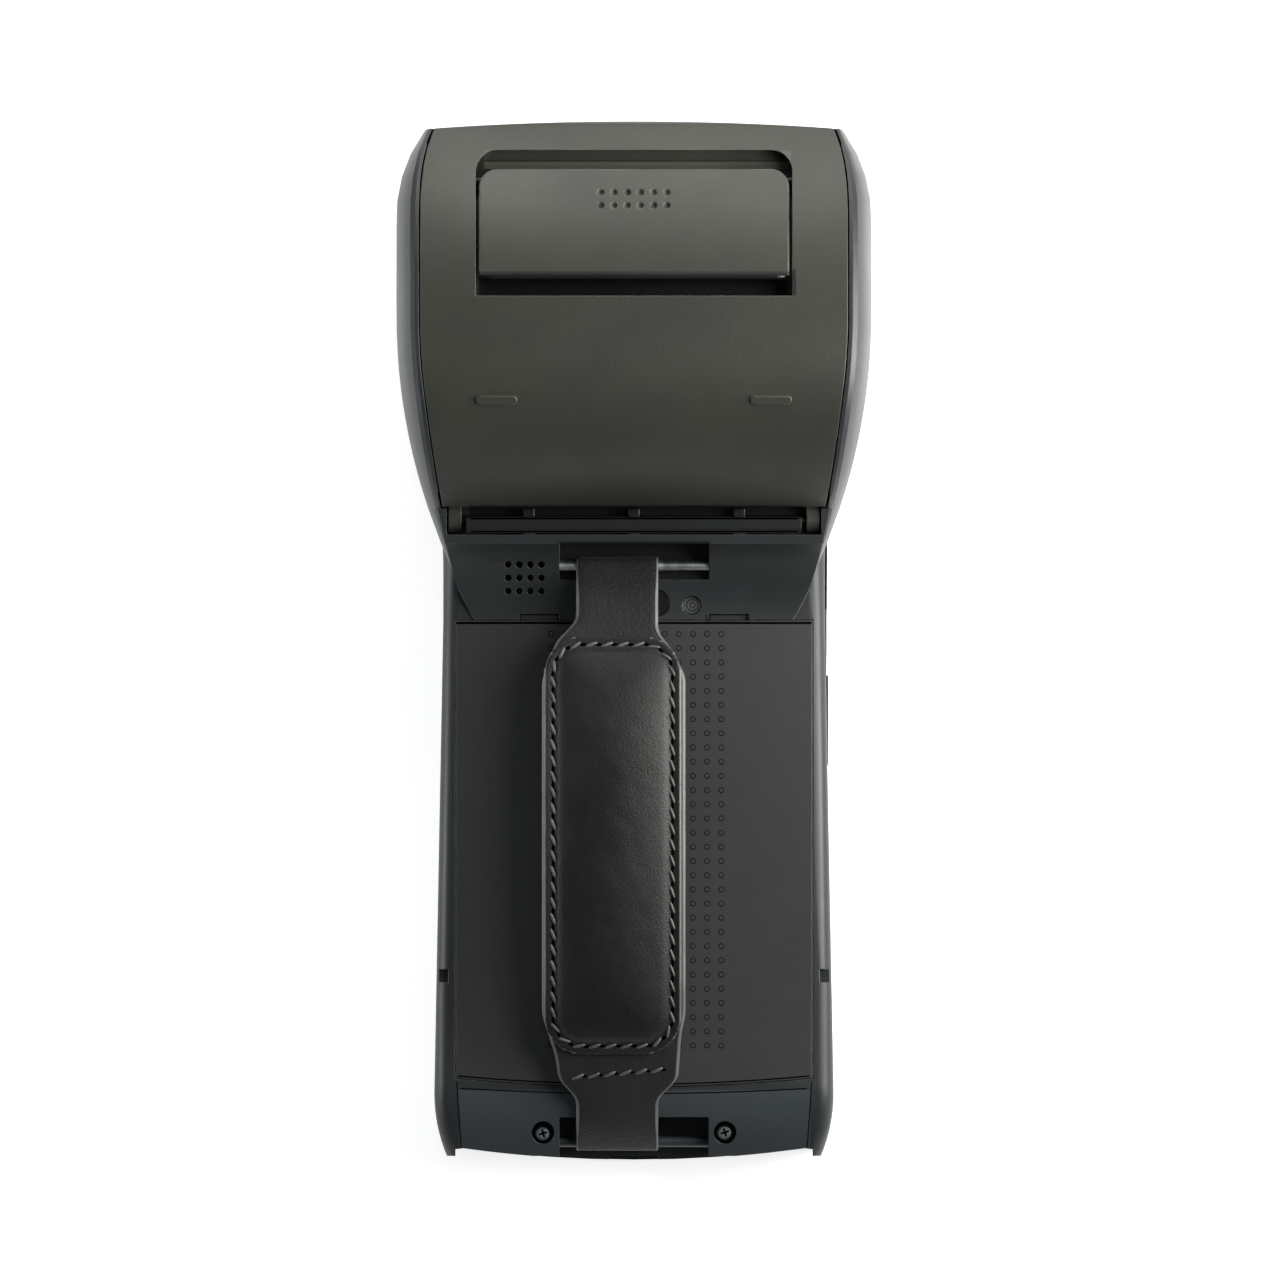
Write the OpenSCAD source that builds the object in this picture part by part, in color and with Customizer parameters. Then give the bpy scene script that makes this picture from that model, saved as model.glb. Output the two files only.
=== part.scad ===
// Handheld mobile computer with a built-in receipt printer, lying face down.
// Millimetres. +Z points out of the back, +Y towards the printer head.
// z = 0 is the rim of the front bezel and y = 0 is the middle of the length.

/* [Housing] */
// Length of the housing over the middle of its curved ends
body_l = 197.4; // [195:0.2:212]
// Width of the grip near its foot
foot_w = 76; // [75:0.2:80]
// Width of the grip at its waist
waist_w = 72.6; // [71.6:0.2:75]
// Width of the printer head
head_w = 90.2; // [89.6:0.2:95]
// Height of the grip's back over the front rim
grip_h = 19; // [18.6:0.1:21]
// Height of the head's crown over the front rim
head_h = 52; // [51:0.2:55]
// Height of the joint line between the front and rear shells
split_h = 7.4; // [7.2:0.1:8]
// Wall of the moulded housings
wall = 2; // [1.6:0.1:2.3]
// Radius of the long edges of the grip
rail_r = 3; // [2:0.2:3.6]
// Radius of the front edge
front_r = 1.8; // [1:0.1:2]

/* [Display] */
// Depth of the cover glass under the front rim
glass_recess = 0.4; // [0.2:0.1:0.8]
// Thickness of the cover glass
glass_t = 1.1; // [0.8:0.1:1.4]
// Width of the cover glass
glass_w = 67; // [66:0.2:67.4]
// Length of the cover glass
glass_l = 164; // [150:1:168]
// Width of the display module
display_w = 64.6; // [60:0.2:65]
// Length of the display module
display_l = 118; // [110:1:122]
// Thickness of the display module
display_t = 2.6; // [2:0.1:2.8]

/* [Battery] */
// Thickness of the battery pack
battery_t = 7.9; // [6:0.1:8]
// Width of the battery pack
battery_w = 62; // [56:0.5:63]
// Length of the battery pack
battery_l = 74; // [64:1:76]
// Thickness of the battery cover
cover_t = 1.8; // [1.4:0.1:2]
// Width of the battery cover
cover_w = 67.8; // [66:0.2:68.6]

/* [Printer] */
// Width of the paper
paper_w = 57.5; // [56:0.1:57.6]
// Diameter of a full paper roll
roll_d = 40; // [36:0.5:40.4]
// Diameter of the core of the roll
core_d = 13; // [11:0.5:16]
// Diameter of the platen roller
platen_d = 9; // [8.4:0.1:9.2]
// Diameter of the platen shaft
platen_shaft_d = 3; // [2.6:0.1:3.4]
// Diameter of the stepper motor
motor_d = 12; // [10:0.2:12.4]
// Module of the printer gears
gear_module = 0.5; // [0.48:0.01:0.52]
// Thickness of the printer gears
gear_t = 1.8; // [1.4:0.1:1.9]

/* [Lid] */
// Wall of the printer lid
lid_t = 2; // [1.6:0.1:2.2]
// Width of the release lever
lever_w = 58.8; // [54:0.2:59]
// Thickness of the release lever
lever_t = 2.3; // [1.8:0.1:2.4]
// Diameter of the hinge pin
hinge_d = 2; // [1.6:0.1:2.4]
// Diameter of the latch shaft
latch_d = 2; // [1.6:0.1:2.2]

/* [Strap] */
// Width of the strap where it is padded
strap_w = 27; // [22:0.5:28]
// Width of the strap's tongues
tongue_w = 16; // [12:0.5:20]
// Thickness of the strap
strap_t = 1.2; // [0.9:0.1:1.3]
// Thickness of the strap's pad
pad_t = 3; // [2:0.1:4]
// Diameter of the bars that hold the strap
bar_d = 2; // [1.6:0.1:2.2]

/* [Keys] */
// Length of the power key
power_l = 9; // [7:0.5:10]
// Length of the volume key
volume_l = 18; // [14:0.5:20]
// Height of the side keys
key_h = 3.2; // [2.4:0.1:3.6]
// Travel of the power key
key_travel = 0.4; // [0.2:0.05:0.4]

/* [Clearances] */
// Gap round the paper roll in its bin
roll_gap = 0.4; // [0.3:0.1:0.8]
// Gap round pieces that move
move_gap = 0.3; // [0.2:0.05:0.4]
// Gap round pieces that only seat
seat_gap = 0.15; // [0.1:0.05:0.3]
// Radial clearance of a pin in its bore
pin_gap = 0.05; // [0.03:0.01:0.08]
// Clearance between the teeth of two gears along their centre line
mesh_gap = 0.06; // [0.04:0.01:0.1]

/* [Hidden] */
$fn = 48;
far = 400;
cut = 1;
press_gap = 0.02;

// Places along the length
y_head = body_l / 2;
y_foot = -body_l / 2;
neck_y = y_head - 94.7;
crown_y = y_head - 44.7;
flank_y = y_head - 36.7;
corner_y = y_head - 17.7;
band_y = y_head - 90.7;
foot_corner_y = y_foot + 12.7;
cap_y = y_foot + 14.7;

// Plan arcs of the head's flanks, of the corners and of the two ends
flank_r = 116;
head_corner_r = 27;
foot_corner_r = 31;
head_end_r = 534;
foot_end_r = 232;
nub_x = 34;
nub_l = 0.8;

// Side view of the back: neck hollow, hinge shelf, back of the head and crown
neck_r = 16;
shelf_z = grip_h + 9.8;
back_r = 30;
crown_r = 73;
back_z = head_h - back_r;
crown_z = head_h - crown_r;
cap_r = 27;
rail_z = grip_h - 0.4;
flank_h = 17;

// Band between the outline of the head and the lid
band_max = 4.6;
band_min = 1.4;
band_run = 40;
crest_t = 0.7;

// Levels of the front shell
pocket_z = glass_recess + glass_t;
display_z = pocket_z + display_t + 0.1;
floor_z = display_z + 0.8;
board_z = floor_z + 0.5;
board_t = 0.8;
can_t = 0.9;
port_z = split_h - 1.6;
joint_h = 0.5;
joint_w = 0.3;
head_wall_y = y_head - drop(head_end_r, head_w / 2) - wall - 0.1;

// Battery bay
bay_z = split_h + 1.2;
bay_half = battery_w / 2 + move_gap;
cover_foot_y = y_foot + 14.1;
bay_foot_y = cover_foot_y + 2.8;
battery_y = bay_foot_y + move_gap;
contact_l = 5;
bay_head_y = battery_y + battery_l + contact_l + 2;
cover_z = grip_h - cover_t;
cover_arc_r = 360;
cover_crown_r = 1437;
tongue_x = 18;
cover_tab_w = 7.2;
cover_tab_l = 1.1;
cover_tab_t = 0.9;

// Hinge of the lid
hinge_y = y_head - 75.7;
hinge_z = shelf_z - 2.4;
knuckle_r = hinge_d / 2 + 1.3;
arm_in = 32.8;
arm_out = 35.2;
trough_half = arm_out + 0.4;
trough_y = hinge_y - 2.7;
trough_z = hinge_z - knuckle_r - 0.4;
lid_low_y = hinge_y + 2.6;
lid_low_z = back_z + sqrt(pow(back_r, 2) - pow(crown_y - lid_low_y, 2));
pin_half = trough_half + 0.8;
strip_half = 31.8;
strip_l = 3.1;
strip_t = 1.1;
rib_xs = [-20, 0, 20];

// Paper roll and bin
bin_wall = 1.2;
roll_y = y_head - 47.7;
roll_z = floor_z + 0.2 + bin_wall + roll_gap + roll_d / 2;
bin_r = roll_d / 2 + roll_gap;
bin_half = paper_w / 2 + 0.7;
ledge_z = roll_z - 1.4;

// Stack of plates across the printer, from the rubber outwards
rubber_half = paper_w / 2;
carrier_x = rubber_half + 0.75;
carrier_t = 1.5;
cheek_x = carrier_x + carrier_t + 0.5;
cheek_t = 1.5;
hook_x = cheek_x + cheek_t + move_gap;
hook_t = 1;
gear_x = hook_x + hook_t + 0.4;
wheel_x = gear_x + gear_t + move_gap;

// Platen, gear train and motor
platen_y = y_head - 11.2;
platen_z = floor_z + 23;
bush_r = 3;
platen_teeth = 18;
idler_small_teeth = 14;
idler_big_teeth = 24;
pinion_teeth = 12;
pressure_angle = 20;
train_angle = 214;
function centres(a, b) = gear_module * (a + b) / 2 + mesh_gap;
idler_y = platen_y;
idler_z = platen_z - centres(platen_teeth, idler_small_teeth);
motor_y = idler_y + centres(idler_big_teeth, pinion_teeth) * cos(train_angle);
motor_z = idler_z + centres(idler_big_teeth, pinion_teeth) * sin(train_angle);
motor_l = 13;
motor_shaft_d = 1.5;
idler_pin_d = 2;

// Print head under the platen, and the chassis that holds it
head_gap = 0.3;
head_t = 2.3;
head_y = platen_y - 4.7;
head_z = platen_z - platen_d / 2 - head_gap - head_t / 2;
head_pin_d = 1.6;
head_l = 9.4;
chassis_z = split_h - 0.4;
chassis_t = 1.2;
chassis_y0 = platen_y - 13.9;
chassis_y1 = platen_y + 5.7;
spring_y = platen_y + 2.5;
spring_x = 14;

// Latch: lever, shaft, hooks and the catch pins on the chassis
latch_y = y_head - 11.4;
latch_z = back_z + 17.4;
lug_r = latch_d / 2 + 1;
hook_r = latch_d / 2 + 0.8;
catch_y = 4;
catch_z = -6;
catch_d = 1.8;
lever_y0 = y_head - 29.4;
lever_y1 = y_head - 9.1;
pocket_y0 = y_head - 33.2;
pocket_y1 = y_head - 5.5;
pocket_half = lever_w / 2 + 0.6;
pocket_wall = 1.2;
pocket_floor_t = 1.5;
pocket_r = 4;
pocket_slope = 0.267;
lug_xs = [-23, 23];
lug_w = 5;
slot_z = platen_z + 3.4;
lid_end_z = slot_z + 1.6;

// Side keys
key_z = split_h + 4;
power_y = neck_y - 2;
volume_y = neck_y - 19;
key_wall_x = bay_half + 1.2;
key_room = 2.5;
power_slack = 0.1;
volume_slack = 0.4;
key_flange_t = 0.5;
key_proud = 0.35;

// Strap and its bars
upper_y = neck_y + 10.4;
upper_z = grip_h + 1.9;
lower_y = y_foot + 3.5;
lower_z = grip_h - 6.4;
slot_half = 14.2;
strap_x = -3;
loop_gap = 0.15;
loop_r = bar_d / 2 + loop_gap + strap_t / 2;
upper_angle = 25;
lower_angle = 55;

// Camera, flash, speaker and screws in the neck and end cap
camera_x = 4.2;
camera_y = neck_y + 3.3;
window_d = 5;
flash_x = 11;
flash_y = neck_y + 2.9;
flash_d = 3.4;
window_z = grip_h - 0.3;
window_t = 0.6;
speaker_x = -23;
speaker_y = neck_y + 7.5;
speaker_size = 12;
speaker_xs = [-23.9, -21.8, -19.7, -17.6];
speaker_ys = [5.6, 8.1, 10.6];
screw_x = 17.3;
screw_y = y_foot + 5.3;
screw_head_d = 3.8;
screw_d = 2;

function clamp(v, low, high) = min(max(v, low), high);
function drop(r, d) = r - sqrt(max(r * r - d * d, 0));
function reverse(list) = [for (i = [len(list) - 1 : -1 : 0]) list[i]];
function steps(a, b, n) = [for (i = [0 : n]) a + (b - a) * i / n];
function arc(c, r, a0, a1, n) = [for (a = steps(a0, a1, n)) [c[0] + r * cos(a), c[1] + r * sin(a)]];

// Half width of the printer head at y, also below the neck where it runs into the grip
function head_half(y) = head_w / 2
    - (y < flank_y ? drop(flank_r, flank_y - y) : 0)
    - (y > corner_y ? drop(head_corner_r, y - corner_y) : 0);

// Half width of the grip at y
function grip_half(y) = waist_w / 2
    + (foot_w - waist_w) / 2 * clamp((neck_y - y) / (neck_y - foot_corner_y), 0, 1)
    - (y < foot_corner_y ? drop(foot_corner_r, foot_corner_y - y) : 0);
function outline_half(y) = y < neck_y ? grip_half(y) : max(grip_half(y), head_half(y));

// Width of the band between the outline of the head and the lid
function band(y) = y < corner_y
    ? band_max * sin(90 * clamp((y - band_y) / band_run, 0.03, 1))
    : band_min + (band_max - band_min) * cos(90 * clamp((y - corner_y) / (y_head - corner_y), 0, 1));
function lid_half(y) = head_half(y) - band(y);

// Height of the back of the head and neck at y
function neck_top(y) = min(grip_h + drop(neck_r, clamp(y - neck_y, 0, neck_r)), shelf_z);
function back_top(y) = y < crown_y
    ? back_z + sqrt(max(pow(back_r, 2) - pow(crown_y - y, 2), 0))
    : crown_z + sqrt(pow(crown_r, 2) - pow(y - crown_y, 2));
function head_top(y) = y < crown_y - back_r ? neck_top(y) : max(neck_top(y), back_top(y));

// Height of the grip's rails, which fall towards the foot
function rail_top(y) = rail_z - (y < cap_y ? drop(cap_r, cap_y - y) : 0);

// Floor of the lever's pocket
function pocket_floor(y) = back_z + 21 - pocket_slope * (y - pocket_y0);

// Closed skin through rings of points, each ring counter-clockwise seen from the first one
module skin(rings) {
    n = len(rings[0]);
    m = len(rings);
    sides = [for (j = [0 : m - 2]) for (i = [0 : n - 1]) let (a = j * n + i, b = j * n + (i + 1) % n)
        each [[a, b, b + n], [a, b + n, a + n]]];
    first = [[for (i = [n - 1 : -1 : 0]) i]];
    last = [[for (i = [0 : n - 1]) (m - 1) * n + i]];
    polyhedron(points = [for (ring = rings) each ring], faces = concat(sides, first, last), convexity = 8);
}

// Ring in a plane of constant y from its right half, which runs from the bottom to the top
function mirror_ring(y, half) = concat(
    [for (p = half) [p[0], y, p[1]]],
    [for (p = reverse(half)) [-p[0], y, p[1]]]);

// Solid that a profile in the plane of y and z sweeps over a width, centred on x
module across(width, x = 0) {
    translate([x - width / 2, 0, 0]) rotate([90, 0, 90]) linear_extrude(width) children();
}
module both_sides() {
    children();
    mirror([1, 0, 0]) children();
}

// Round bar along x
module rod(x0, x1, y, z, d) {
    translate([x0, y, z]) rotate([0, 90, 0]) cylinder(d = d, h = x1 - x0);
}

// Block between two corners
module block(a, b) {
    translate(a) cube(b - a);
}

// Plan shape with rounded corners, made of squares and circles
module round_plan(w, y0, y1, r) {
    translate([-w / 2 + r, y0]) square([w - 2 * r, y1 - y0]);
    translate([-w / 2, y0 + r]) square([w, y1 - y0 - 2 * r]);
    for (x = [-w / 2 + r, w / 2 - r], y = [y0 + r, y1 - r]) translate([x, y]) circle(r);
}

// Helix of wire along x, wound round y = 0, z = 0
module coil(r, wire, turns, pitch) {
    skin([for (i = [0 : turns * 10]) let (a = i * 36)
        [for (b = [0 : 72 : 288]) [
            i / 10 * pitch + wire / 2 * sin(b),
            (r + wire / 2 * cos(b)) * cos(a),
            (r + wire / 2 * cos(b)) * sin(a)]]]);
}

// Gears with involute flanks
function inv(a) = tan(a) * 180 / PI - a;
function base_r(teeth) = gear_module * teeth / 2 * cos(pressure_angle);
function flank(teeth, r) = 88.4 / teeth + inv(pressure_angle) - inv(acos(min(1, base_r(teeth) / r)));
function tooth(teeth) = let (
    pitch_r = gear_module * teeth / 2,
    root_r = pitch_r - 1.2 * gear_module,
    tip_r = pitch_r + 0.8 * gear_module,
    low_r = max(base_r(teeth), root_r),
    half = concat([[root_r, flank(teeth, low_r)]], [for (r = steps(low_r, tip_r, 3)) [r, flank(teeth, r)]]))
    concat([for (p = half) [p[0], -p[1]]], reverse(half));
module gear(teeth, t, bore, turn) {
    rotate([90, 0, 90]) linear_extrude(t) difference() {
        rotate(turn) polygon([for (k = [0 : teeth - 1]) for (p = tooth(teeth))
            let (a = p[1] + k * 360 / teeth) p[0] * [cos(a), sin(a)]]);
        circle(d = bore);
    }
}

// Stations along the grip and along the head
grip_ys = concat(steps(y_foot - cut, foot_corner_y, 9), [cap_y, neck_y, crown_y - back_r / 2]);
neck_ys = [for (a = steps(6, 66, 8)) neck_y + neck_r * sin(a)];
back_ys = [for (a = steps(15, 90, 14)) crown_y - back_r * cos(a)];
crown_ys = [for (a = steps(4, 36, 8)) crown_y + crown_r * sin(a)];

// Outline of both shells in plan, clockwise seen from above
end_y = y_head - 1.7;
outline_ys = concat(steps(y_foot + 1.8, foot_corner_y, 5), [cap_y], steps(neck_y, neck_y + 14, 3),
    steps(neck_y + 16, flank_y, 12), steps(corner_y, end_y, 7));
function end_points(half, y_end, side, r) = [for (x = steps(-half, half, 8)) [x, y_end - side * drop(r, x)]];
outline = let (
    right = [for (y = outline_ys) [outline_half(y), y]],
    head_x = outline_half(end_y) - 2.4,
    foot_x = outline_half(y_foot + 1.8) - 4)
    concat(reverse(right),
        reverse(end_points(foot_x, y_foot, -1, foot_end_r)),
        [for (p = right) [-p[0], p[1]]],
        end_points(head_x, y_head, 1, head_end_r));

// The outline pulled in by a distance, along its normals
function inset(points, d) = let (n = len(points)) [for (i = [0 : n - 1]) let (
    t = points[(i + 1) % n] - points[(i + n - 1) % n]) points[i] - d * [-t[1], t[0]] / norm(t)];
function level(points, z) = [for (p = points) [p[0], p[1], z]];

// Printer lid in plan, wider by gap
function lid_plan(gap, y0, y1) = let (ys = steps(y0, y1, 24)) concat(
    [for (y = ys) [lid_half(y) + gap, y]], [for (y = reverse(ys)) [-lid_half(y) - gap, y]]);

module grip_form() {
    skin([for (y = grip_ys) let (h = grip_half(y), z = rail_top(y))
        mirror_ring(y, concat([[h, split_h]], arc([h - rail_r, z - rail_r], rail_r, 0, 90, 5)))]);
}

// Right half of the head's section at y
function head_section(y) = let (
    h = head_half(y),
    x = lid_half(y) + move_gap + crest_t,
    z = head_top(y),
    low = max(rail_z - 1.5, z - flank_h))
    concat([[h, split_h]], [for (a = steps(0, 90, 6)) [x + (h - x) * cos(a), low + (z - low) * sin(a)]]);

module head_form() {
    ys = concat([neck_y - 2 * cut, neck_y + 0.4], neck_ys, back_ys, crown_ys, [y_head + cut]);
    skin([for (y = ys) mirror_ring(y, head_section(y))]);
}

// Space under the lid, wider below the bands
module head_cavity() {
    ys = steps(hinge_y + 9, head_wall_y - 4, 20);
    translate([0, 0, split_h - cut]) {
        linear_extrude(far) polygon(lid_plan(move_gap, hinge_y + 5, head_wall_y));
        linear_extrude(rail_z - 1.5 - split_h) polygon(concat(
            [for (y = ys) [head_half(y) - wall, y]],
            [for (y = reverse(ys)) [wall - head_half(y), y]]));
    }
}

// What lies past the curved ends
module past_ends() {
    translate([0, 0, -cut]) linear_extrude(far / 4) {
        difference() {
            translate([-head_w, y_head - 8]) square([2 * head_w, 20]);
            translate([0, y_head - head_end_r]) circle(head_end_r, $fn = 360);
        }
        difference() {
            translate([-nub_x, y_foot - 10]) square([2 * nub_x, 14]);
            translate([0, y_foot + foot_end_r]) circle(foot_end_r, $fn = 360);
        }
        translate([-head_w, y_foot - 10]) square([2 * head_w, 10 + nub_l]);
    }
}

// Space in the neck in front of the hinge trough
module neck_cavity() {
    r = neck_r + wall;
    c = [neck_y, grip_h + neck_r];
    across(60) polygon(concat(
        [[bay_head_y + 1.5, split_h - cut], [bay_head_y + 1.5, cover_z - 1.5], [neck_y + 1, cover_z - 1.5]],
        [for (y = steps(neck_y + 2, trough_y - wall, 8)) [y, c[1] - sqrt(r * r - pow(y - c[0], 2))]],
        [[trough_y - wall, trough_z - wall], [hinge_y + 6, trough_z - wall], [hinge_y + 6, split_h - cut]]));
}

// Plan of the battery cover, wider by gap
module cover_plan(gap) {
    half = cover_w / 2 + gap;
    polygon(concat([[half, neck_y + gap], [-half, neck_y + gap]],
        [for (x = steps(-half, half, 12)) [x, cover_foot_y - gap + drop(cover_arc_r, x)]]));
}

module front_shell() color("#2b2d2e") {
    rings = [for (a = steps(0, 90, 4))
        level(inset(outline, front_r * (1 - sin(a))), front_r * (1 - cos(a)))];
    // The skin closes on an ellipse inside the wall's solid
    core = [for (p = outline) let (u = [p[0] / head_w, p[1] / body_l])
        [glass_w / 2 * u[0], glass_l / 2 * u[1]] / norm(u)];
    difference() {
        // Rounded front edge and the wall, which is set back along the joint between the shells
        union() {
            skin(concat(rings, [level(core, front_r + 0.7)]));
            translate([0, 0, front_r]) linear_extrude(split_h - joint_h - front_r) polygon(outline);
            translate([0, 0, floor_z]) linear_extrude(split_h - floor_z) polygon(inset(outline, joint_w));
        }
        translate([0, 0, floor_z]) linear_extrude(far) polygon(inset(outline, wall));
        translate([0, 0, -cut]) linear_extrude(cut + pocket_z)
            round_plan(glass_w + 2 * seat_gap, -glass_l / 2 - seat_gap, glass_l / 2 + seat_gap, 6);
        block([-display_w / 2 - seat_gap, -display_l / 2 - seat_gap, pocket_z - cut],
            [display_w / 2 + seat_gap, display_l / 2 + seat_gap, display_z]);
        block([-4.7, y_foot - cut, port_z - 1.6], [4.7, y_foot + 9, split_h + cut]);
        block([-7, y_head - 11, -cut], [7, y_head - 9.8, floor_z + cut]);
        block([-8, y_head - 13.2, floor_z - 1.6], [8, y_head - 7.6, floor_z + cut]);
        for (x = [-screw_x, screw_x])
            translate([x, screw_y, floor_z - 2]) cylinder(d = screw_d + 0.2, h = 10);
    }
    for (x = [-27, 27], y = [y_foot + 14, neck_y + 14]) translate([x, y, floor_z - 0.1])
        cylinder(d = 4, h = board_z - floor_z + 0.1);
    for (x = [-30, 30], y = [chassis_y0 + 3, chassis_y1 - 3]) translate([x, y, floor_z - 0.1])
        cylinder(d = 5, h = chassis_z - floor_z + 0.1);
    for (x = [-screw_x, screw_x]) translate([x, screw_y, floor_z - 0.1]) difference() {
        cylinder(d = 5, h = split_h - floor_z + 0.1);
        translate([0, 0, -cut]) cylinder(d = screw_d + 0.2, h = 10);
    }
}

module cover_glass() color("#0b0c0d") {
    translate([0, 0, glass_recess]) linear_extrude(glass_t) round_plan(glass_w, -glass_l / 2, glass_l / 2, 6);
}

module display_module() color("#3a3d40") {
    block([-display_w / 2, -display_l / 2, pocket_z], [display_w / 2, display_l / 2, pocket_z + display_t]);
}

module earpiece() color("#55585a") {
    block([-7.8, y_head - 13, floor_z - 1.6], [7.8, y_head - 7.8, floor_z + 0.8]);
}

module main_board() color("#1e5a3a") {
    translate([0, 0, board_z]) linear_extrude(board_t) difference() {
        translate([-31, y_foot + 9.2]) square([62, neck_y + 19 - y_foot - 9.2]);
        for (x = [-27, 27], y = [y_foot + 14, neck_y + 14]) translate([x, y]) circle(d = 1.6);
    }
}

module shield_cans() color("#b9bcbe") {
    for (p = [[-16, -8, 26, 22], [14, -12, 20, 26], [-14, -38, 22, 18], [12, -42, 28, 22]])
        translate([p[0] - p[2] / 2, p[1] - p[3] / 2, board_z + board_t]) cube([p[2], p[3], can_t]);
}

module usb_port() color("#b9bcbe") {
    difference() {
        translate([0, y_foot + 8.8, port_z]) rotate([90, 0, 0]) linear_extrude(7.2)
            round_plan(8.9, -1.45, 1.45, 1.4);
        translate([0, y_foot + 7.8, port_z]) rotate([90, 0, 0]) linear_extrude(8)
            round_plan(8.3, -1.15, 1.15, 1.1);
    }
    block([-3.2, y_foot + 2.6, port_z - 0.3], [3.2, y_foot + 8, port_z + 0.3]);
}

module side_switches() color("#c9c4b4") {
    rock = 0.25;
    for (s = [[power_y, power_slack + key_travel + 0.05], [volume_y - 5, volume_slack + rock],
            [volume_y + 5, volume_slack + rock]])
        block([key_wall_x, s[0] - 2, key_z - 1.5],
            [key_wall_x + key_room - key_flange_t - s[1], s[0] + 2, key_z + 1.5]);
}

// Hole through the side wall for a key, and the space for its flange
module key_space(y, l) {
    block([key_wall_x, y - l / 2 - 1.2, split_h - cut],
        [key_wall_x + key_room, y + l / 2 + 1.2, key_z + key_h / 2 + 0.9]);
    block([key_wall_x, y - l / 2 - seat_gap, key_z - key_h / 2 - seat_gap],
        [head_w / 2, y + l / 2 + seat_gap, key_z + key_h / 2 + seat_gap]);
}

// Key cap with a flange that stops it in the wall
module key(y, l, slack) {
    x = key_wall_x + key_room - slack;
    block([x - key_flange_t, y - l / 2 - 0.7, key_z - key_h / 2 - 0.6],
        [x, y + l / 2 + 0.7, key_z + key_h / 2 + 0.6]);
    face = grip_half(y) + key_proud;
    difference() {
        block([x - key_flange_t, y - l / 2, key_z - key_h / 2], [face, y + l / 2, key_z + key_h / 2]);
        for (s = [-1, 1])
            translate([face, y + s * l / 2, 0]) rotate(s * 45) cube([1, 0.5, far / 4], center = true);
    }
}
module power_key() color("#26282a") key(power_y, power_l, power_slack);
module volume_key() color("#26282a") key(volume_y, volume_l, volume_slack);

// Raised block in the neck round the recess of the upper strap bar
module recess_block() {
    block([-slot_half - wall, upper_y - 4.6, upper_z - 5], [slot_half + wall, upper_y + 6, far / 4]);
}

module rear_shell() color("#2f3132") {
    difference() {
        union() {
            difference() {
                union() {
                    head_form();
                    grip_form();
                }
                past_ends();
                head_cavity();
                difference() {
                    neck_cavity();
                    recess_block();
                }
                translate([0, 0, trough_z]) linear_extrude(far)
                    polygon(lid_plan(move_gap + 0.15, lid_low_y - move_gap, hinge_y + 5.3));
                translate([0, 0, slot_z]) linear_extrude(far)
                    polygon(lid_plan(move_gap + 0.15, head_wall_y - 0.3, y_head + 2));
                block([-trough_half, trough_y, trough_z], [trough_half, hinge_y + 5.3, far / 4]);
                block([-bay_half, bay_foot_y, bay_z], [bay_half, bay_head_y, far / 4]);
                translate([0, 0, cover_z]) linear_extrude(far / 4) cover_plan(seat_gap);
            }
            for (x = rib_xs)
                block([x - 1, trough_y - 0.1, trough_z - 0.1], [x + 1, hinge_y + 2.2, shelf_z - 0.6]);
            both_sides() for (y = [roll_y - 10, roll_y + 14])
                block([lid_half(y) + move_gap - 2.4, y - 2, ledge_z - 2],
                    [lid_half(y) + 1, y + 2, ledge_z]);
        }
        // Slot for the strap in the foot, and the recess for its upper bar
        block([-slot_half, y_foot - cut, lower_z - 3.8], [slot_half, y_foot + 8.2, far / 4]);
        across(2 * slot_half) polygon([
            [upper_y - 2.65, far / 4], [upper_y - 2.65, upper_z - 3.1], [upper_y + 4.2, upper_z - 3.1],
            [upper_y + 4.2, far / 4]]);
        rod(-slot_half - 1, slot_half + 1, upper_y, upper_z, bar_d + 2 * press_gap);
        rod(-pin_half, pin_half, hinge_y, hinge_z, hinge_d + 2 * press_gap);
        for (x = speaker_xs, y = speaker_ys)
            translate([x, neck_y + y, grip_h - 4]) cylinder(d = 1.3, h = 20, $fn = 24);
        translate([camera_x, camera_y, window_z - window_t]) cylinder(d = window_d + 2 * seat_gap, h = 20);
        translate([camera_x, camera_y, grip_h - 5]) cylinder(d = window_d - 0.4, h = 20);
        translate([flash_x, flash_y, window_z - window_t]) cylinder(d = flash_d + 2 * seat_gap, h = 20);
        for (x = [-screw_x, screw_x]) translate([x, screw_y, 0]) {
            translate([0, 0, split_h + 2.2]) cylinder(d = screw_head_d + 0.5, h = 20);
            cylinder(d = screw_d + 0.2, h = 20);
        }
        for (x = [-tongue_x, tongue_x]) block([x - cover_tab_w / 2 - 0.2, neck_y - cut, cover_z],
            [x + cover_tab_w / 2 + 0.2, neck_y + cover_tab_l + seat_gap, far / 4]);
        for (s = [-1, 1]) translate([s * 36.2, y_foot + 35.1, rail_z]) cube([1.8, 2.5, 3], center = true);
        key_space(power_y, power_l);
        key_space(volume_y, volume_l);
    }
    // Bar for the strap across the slot in the foot
    rod(-slot_half - 0.5, slot_half + 0.5, lower_y, lower_z, bar_d);
}

module battery_pack() color("#1f2a3a") {
    translate([0, battery_y, bay_z]) linear_extrude(battery_t) round_plan(battery_w, 0, battery_l, 2);
}

module battery_contacts() color("#15181a") {
    y = battery_y + battery_l + move_gap;
    block([-9, y + 0.8, bay_z], [9, y + contact_l, bay_z + 5]);
    for (x = [-6 : 3 : 6]) block([x - 0.5, y, bay_z + 1.5], [x + 0.5, y + 1, bay_z + 4]);
}

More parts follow.
